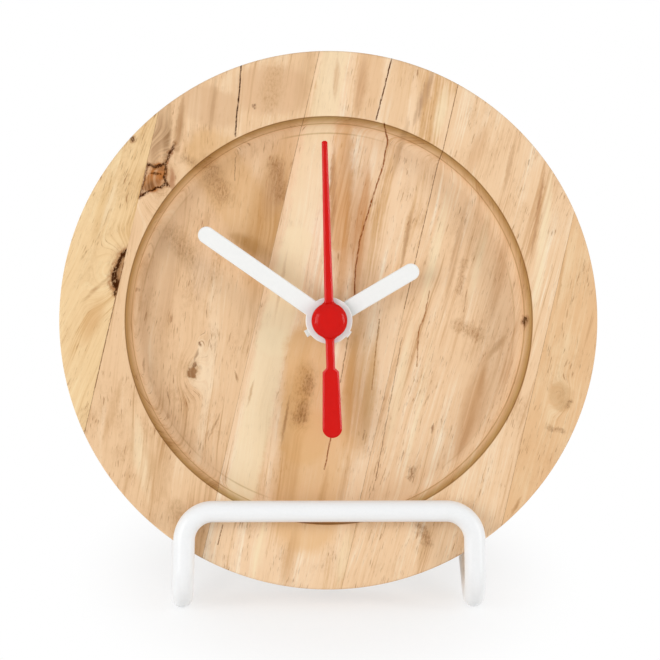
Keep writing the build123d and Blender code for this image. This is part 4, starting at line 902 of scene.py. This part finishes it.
def second_hand():
    """The blade, the counterweight and the cap with the bore for its sleeve."""
    inside = CAP_RADIUS - FLARE * 2
    flare = [(FLARE, inside)] + [(FLARE * out, CAP_RADIUS + FLARE * up) for out, up in FLARE_CURVE]
    blade = [(SECOND_ROOT / 2 + x, y) for x, y in flare]
    blade += [(SECOND_TIP / 2, SECOND_LENGTH - TIP_ROUND), (SECOND_TIP / 2 - TIP_ROUND, SECOND_LENGTH),
              (0.0, SECOND_LENGTH)]
    stem = [(SECOND_STEM / 2 + x, -y) for x, y in flare]
    stem += [(SECOND_STEM / 2, -SHOULDER_START), (WEIGHT_NECK / 2, -SHOULDER_END)]
    stem += arc((0.0, WEIGHT_WIDTH / 2 - SECOND_TAIL), WEIGHT_WIDTH / 2, 0, -90, DOME_STEPS)
    stem[-1] = (0.0, -SECOND_TAIL)
    bm = bmesh.new()
    moulded(bm, blade, SECOND_BEARING)
    moulded(bm, stem, SECOND_BEARING)
    skirt = SECOND_BASE + CAP_SKIRT
    dome = [(CAP_RADIUS * math.cos(a), skirt + CAP_DOME * math.sin(a))
            for a in (math.radians(90 * i / DOME_STEPS) for i in range(DOME_STEPS))]
    bore_top = SECOND_BASE + SECOND_THICKNESS
    turned(bm, [(SLEEVE_BORE, SECOND_BASE), (CAP_RADIUS, SECOND_BASE)] + dome
           + [(0.0, skirt + CAP_DOME), (0.0, bore_top), (SLEEVE_BORE, bore_top)], CAP_STEPS)
    bmesh.ops.remove_doubles(bm, verts=bm.verts, dist=MERGE_DISTANCE)
    return bm


finish_piece("moulded_second_hand", mesh_from("moulded_second_hand", second_hand()), "second",
             FINISHES["red_plastic"], ["second_hand"], HAND_SMOOTH_ANGLE)


# Studio: pale floor, white background, soft light and the camera at the photo's angle

FLOOR_SIZE, FLOOR_CELLS = 4.0, 8
PAPER_GRAIN, PAPER_DETAIL, PAPER_ROUGHNESS = 0.8, 3.0, 0.9
# Where the floor's shadow starts and ends to fade, in metres, its narrowing sideways and its depth
SHADOW_REACH = (0.04, 0.11)
SHADOW_WIDTH = 1.45
SHADOW_DEPTH = 0.36
WORLD_LEVEL = 0.565
# Each soft box has its place, width, height and power
SOFT_BOXES = {
    "window_left": ((-0.68, -0.52, 0.30), 0.38, 0.55, 3.35),
    "window_right": ((0.78, -0.38, 0.28), 0.20, 0.55, 2.7),
}
# The photo's size in pixels and millimetres per pixel on the dial, and where the camera stands and aims
PHOTO_PIXELS = 660
PHOTO_SCALE = 0.2783
CAMERA_DISTANCE = 1.0
CAMERA_LEFT = math.radians(2.6)
CAMERA_ABOVE = math.radians(1.0)
AIM_RIGHT = 0.19
AIM_UP = -2.62
SENSOR = 36.0


def seen_rays(add):
    """1 for rays that show the background: from the camera, from gloss and through glass."""
    path = add("LightPath").outputs
    seen = add("Math.MAXIMUM", {0: path["Is Camera Ray"], 1: path["Is Glossy Ray"]})
    return add("Math.MAXIMUM", {0: seen, 1: path["Is Transmission Ray"]})


def studio_floor():
    """A pale floor with the object's shadow on it, which fades into the white background further out."""
    bm = bmesh.new()
    bmesh.ops.create_grid(bm, x_segments=FLOOR_CELLS, y_segments=FLOOR_CELLS, size=FLOOR_SIZE / 2)
    mesh = bpy.data.meshes.new("floor")
    bm.to_mesh(mesh)
    bm.free()
    # Matte paper: white with the least trace of fibre, and no shine
    material, add, shader = new_material("floor_paper_white")
    place = add("TexCoord").outputs["Object"]
    oval = add("VectorMath.MULTIPLY", {0: place, 1: (SHADOW_WIDTH, 1.0, 1.0)})
    away = add("VectorMath.LENGTH", {0: oval})
    far = add("MapRange", {"interpolation_type": "SMOOTHSTEP", "Value": away, "From Min": SHADOW_REACH[0],
                           "From Max": SHADOW_REACH[1], "To Min": 1.0 - SHADOW_DEPTH})
    fibre = add("TexNoise", {"Scale": 1 / (PAPER_GRAIN * MM), "Detail": PAPER_DETAIL, "Vector": place})
    paper = add("Mix", {"data_type": "RGBA", 0: fibre, 6: linear("#F8F8F8"), 7: linear("#FCFCFC")})
    feed(shader, {"Base Color": paper, "Roughness": PAPER_ROUGHNESS, "Specular IOR Level": 0.0})
    white = add("Emission", {"Color": linear("#FFFFFF"), "Strength": 1.0})
    cover = add("Math.MULTIPLY", {0: far, 1: seen_rays(add)})
    surface = next(node for node in material.node_tree.nodes if node.type == "OUTPUT_MATERIAL")
    feed(surface, {"Surface": add("MixShader", {0: cover, 1: shader, 2: white})})
    mesh.materials.append(material)
    floor = in_scene("floor", mesh)


def white_world():
    """A world that lights softly and is white where the camera, gloss or glass sees it."""
    world = bpy.data.worlds.new("studio")
    bpy.context.scene.world = world
    world.use_nodes = True
    world.node_tree.nodes.clear()
    add = partial(add_node, world.node_tree)
    level = add("MapRange", {"Value": seen_rays(add), "To Min": WORLD_LEVEL, "To Max": 1.0})
    light = add("Background", {"Color": linear("#FFFFFF"), "Strength": level})
    add("OutputWorld", {"Surface": light})


def soft_box(name, place, width, height, power):
    """An upright soft light that faces the clock."""
    lamp = bpy.data.lights.new(name, "AREA")
    lamp.shape = "RECTANGLE"
    lamp.size = width
    lamp.size_y = height
    lamp.energy = power
    holder = in_scene(name, lamp)
    holder.location = place
    holder.rotation_euler = (CENTRE - Vector(place)).to_track_quat("-Z", "Y").to_euler()


def photo_camera():
    """The camera at the photo's angle, level with the stand's bar."""
    view = (OUT * math.cos(CAMERA_ABOVE) + UP * math.sin(CAMERA_ABOVE)) * math.cos(CAMERA_LEFT)
    view -= RIGHT * math.sin(CAMERA_LEFT)
    view.normalize()
    level = (RIGHT - view * RIGHT.dot(view)).normalized()
    upright = view.cross(level)
    aim = CENTRE + (level * AIM_RIGHT + upright * AIM_UP) * MM
    lens = bpy.data.cameras.new("photo_camera")
    lens.sensor_width = SENSOR
    lens.lens = SENSOR * CAMERA_DISTANCE / (PHOTO_PIXELS * PHOTO_SCALE * MM)
    camera = in_scene("photo_camera", lens)
    turn = Matrix((level, upright, view)).transposed().to_4x4()
    camera.matrix_world = Matrix.Translation(aim + view * CAMERA_DISTANCE) @ turn
    bpy.context.scene.camera = camera


studio_floor()
white_world()
for name, (place, width, height, power) in SOFT_BOXES.items():
    soft_box(name, place, width, height, power)
photo_camera()
bpy.context.scene.view_settings.view_transform = "Standard"
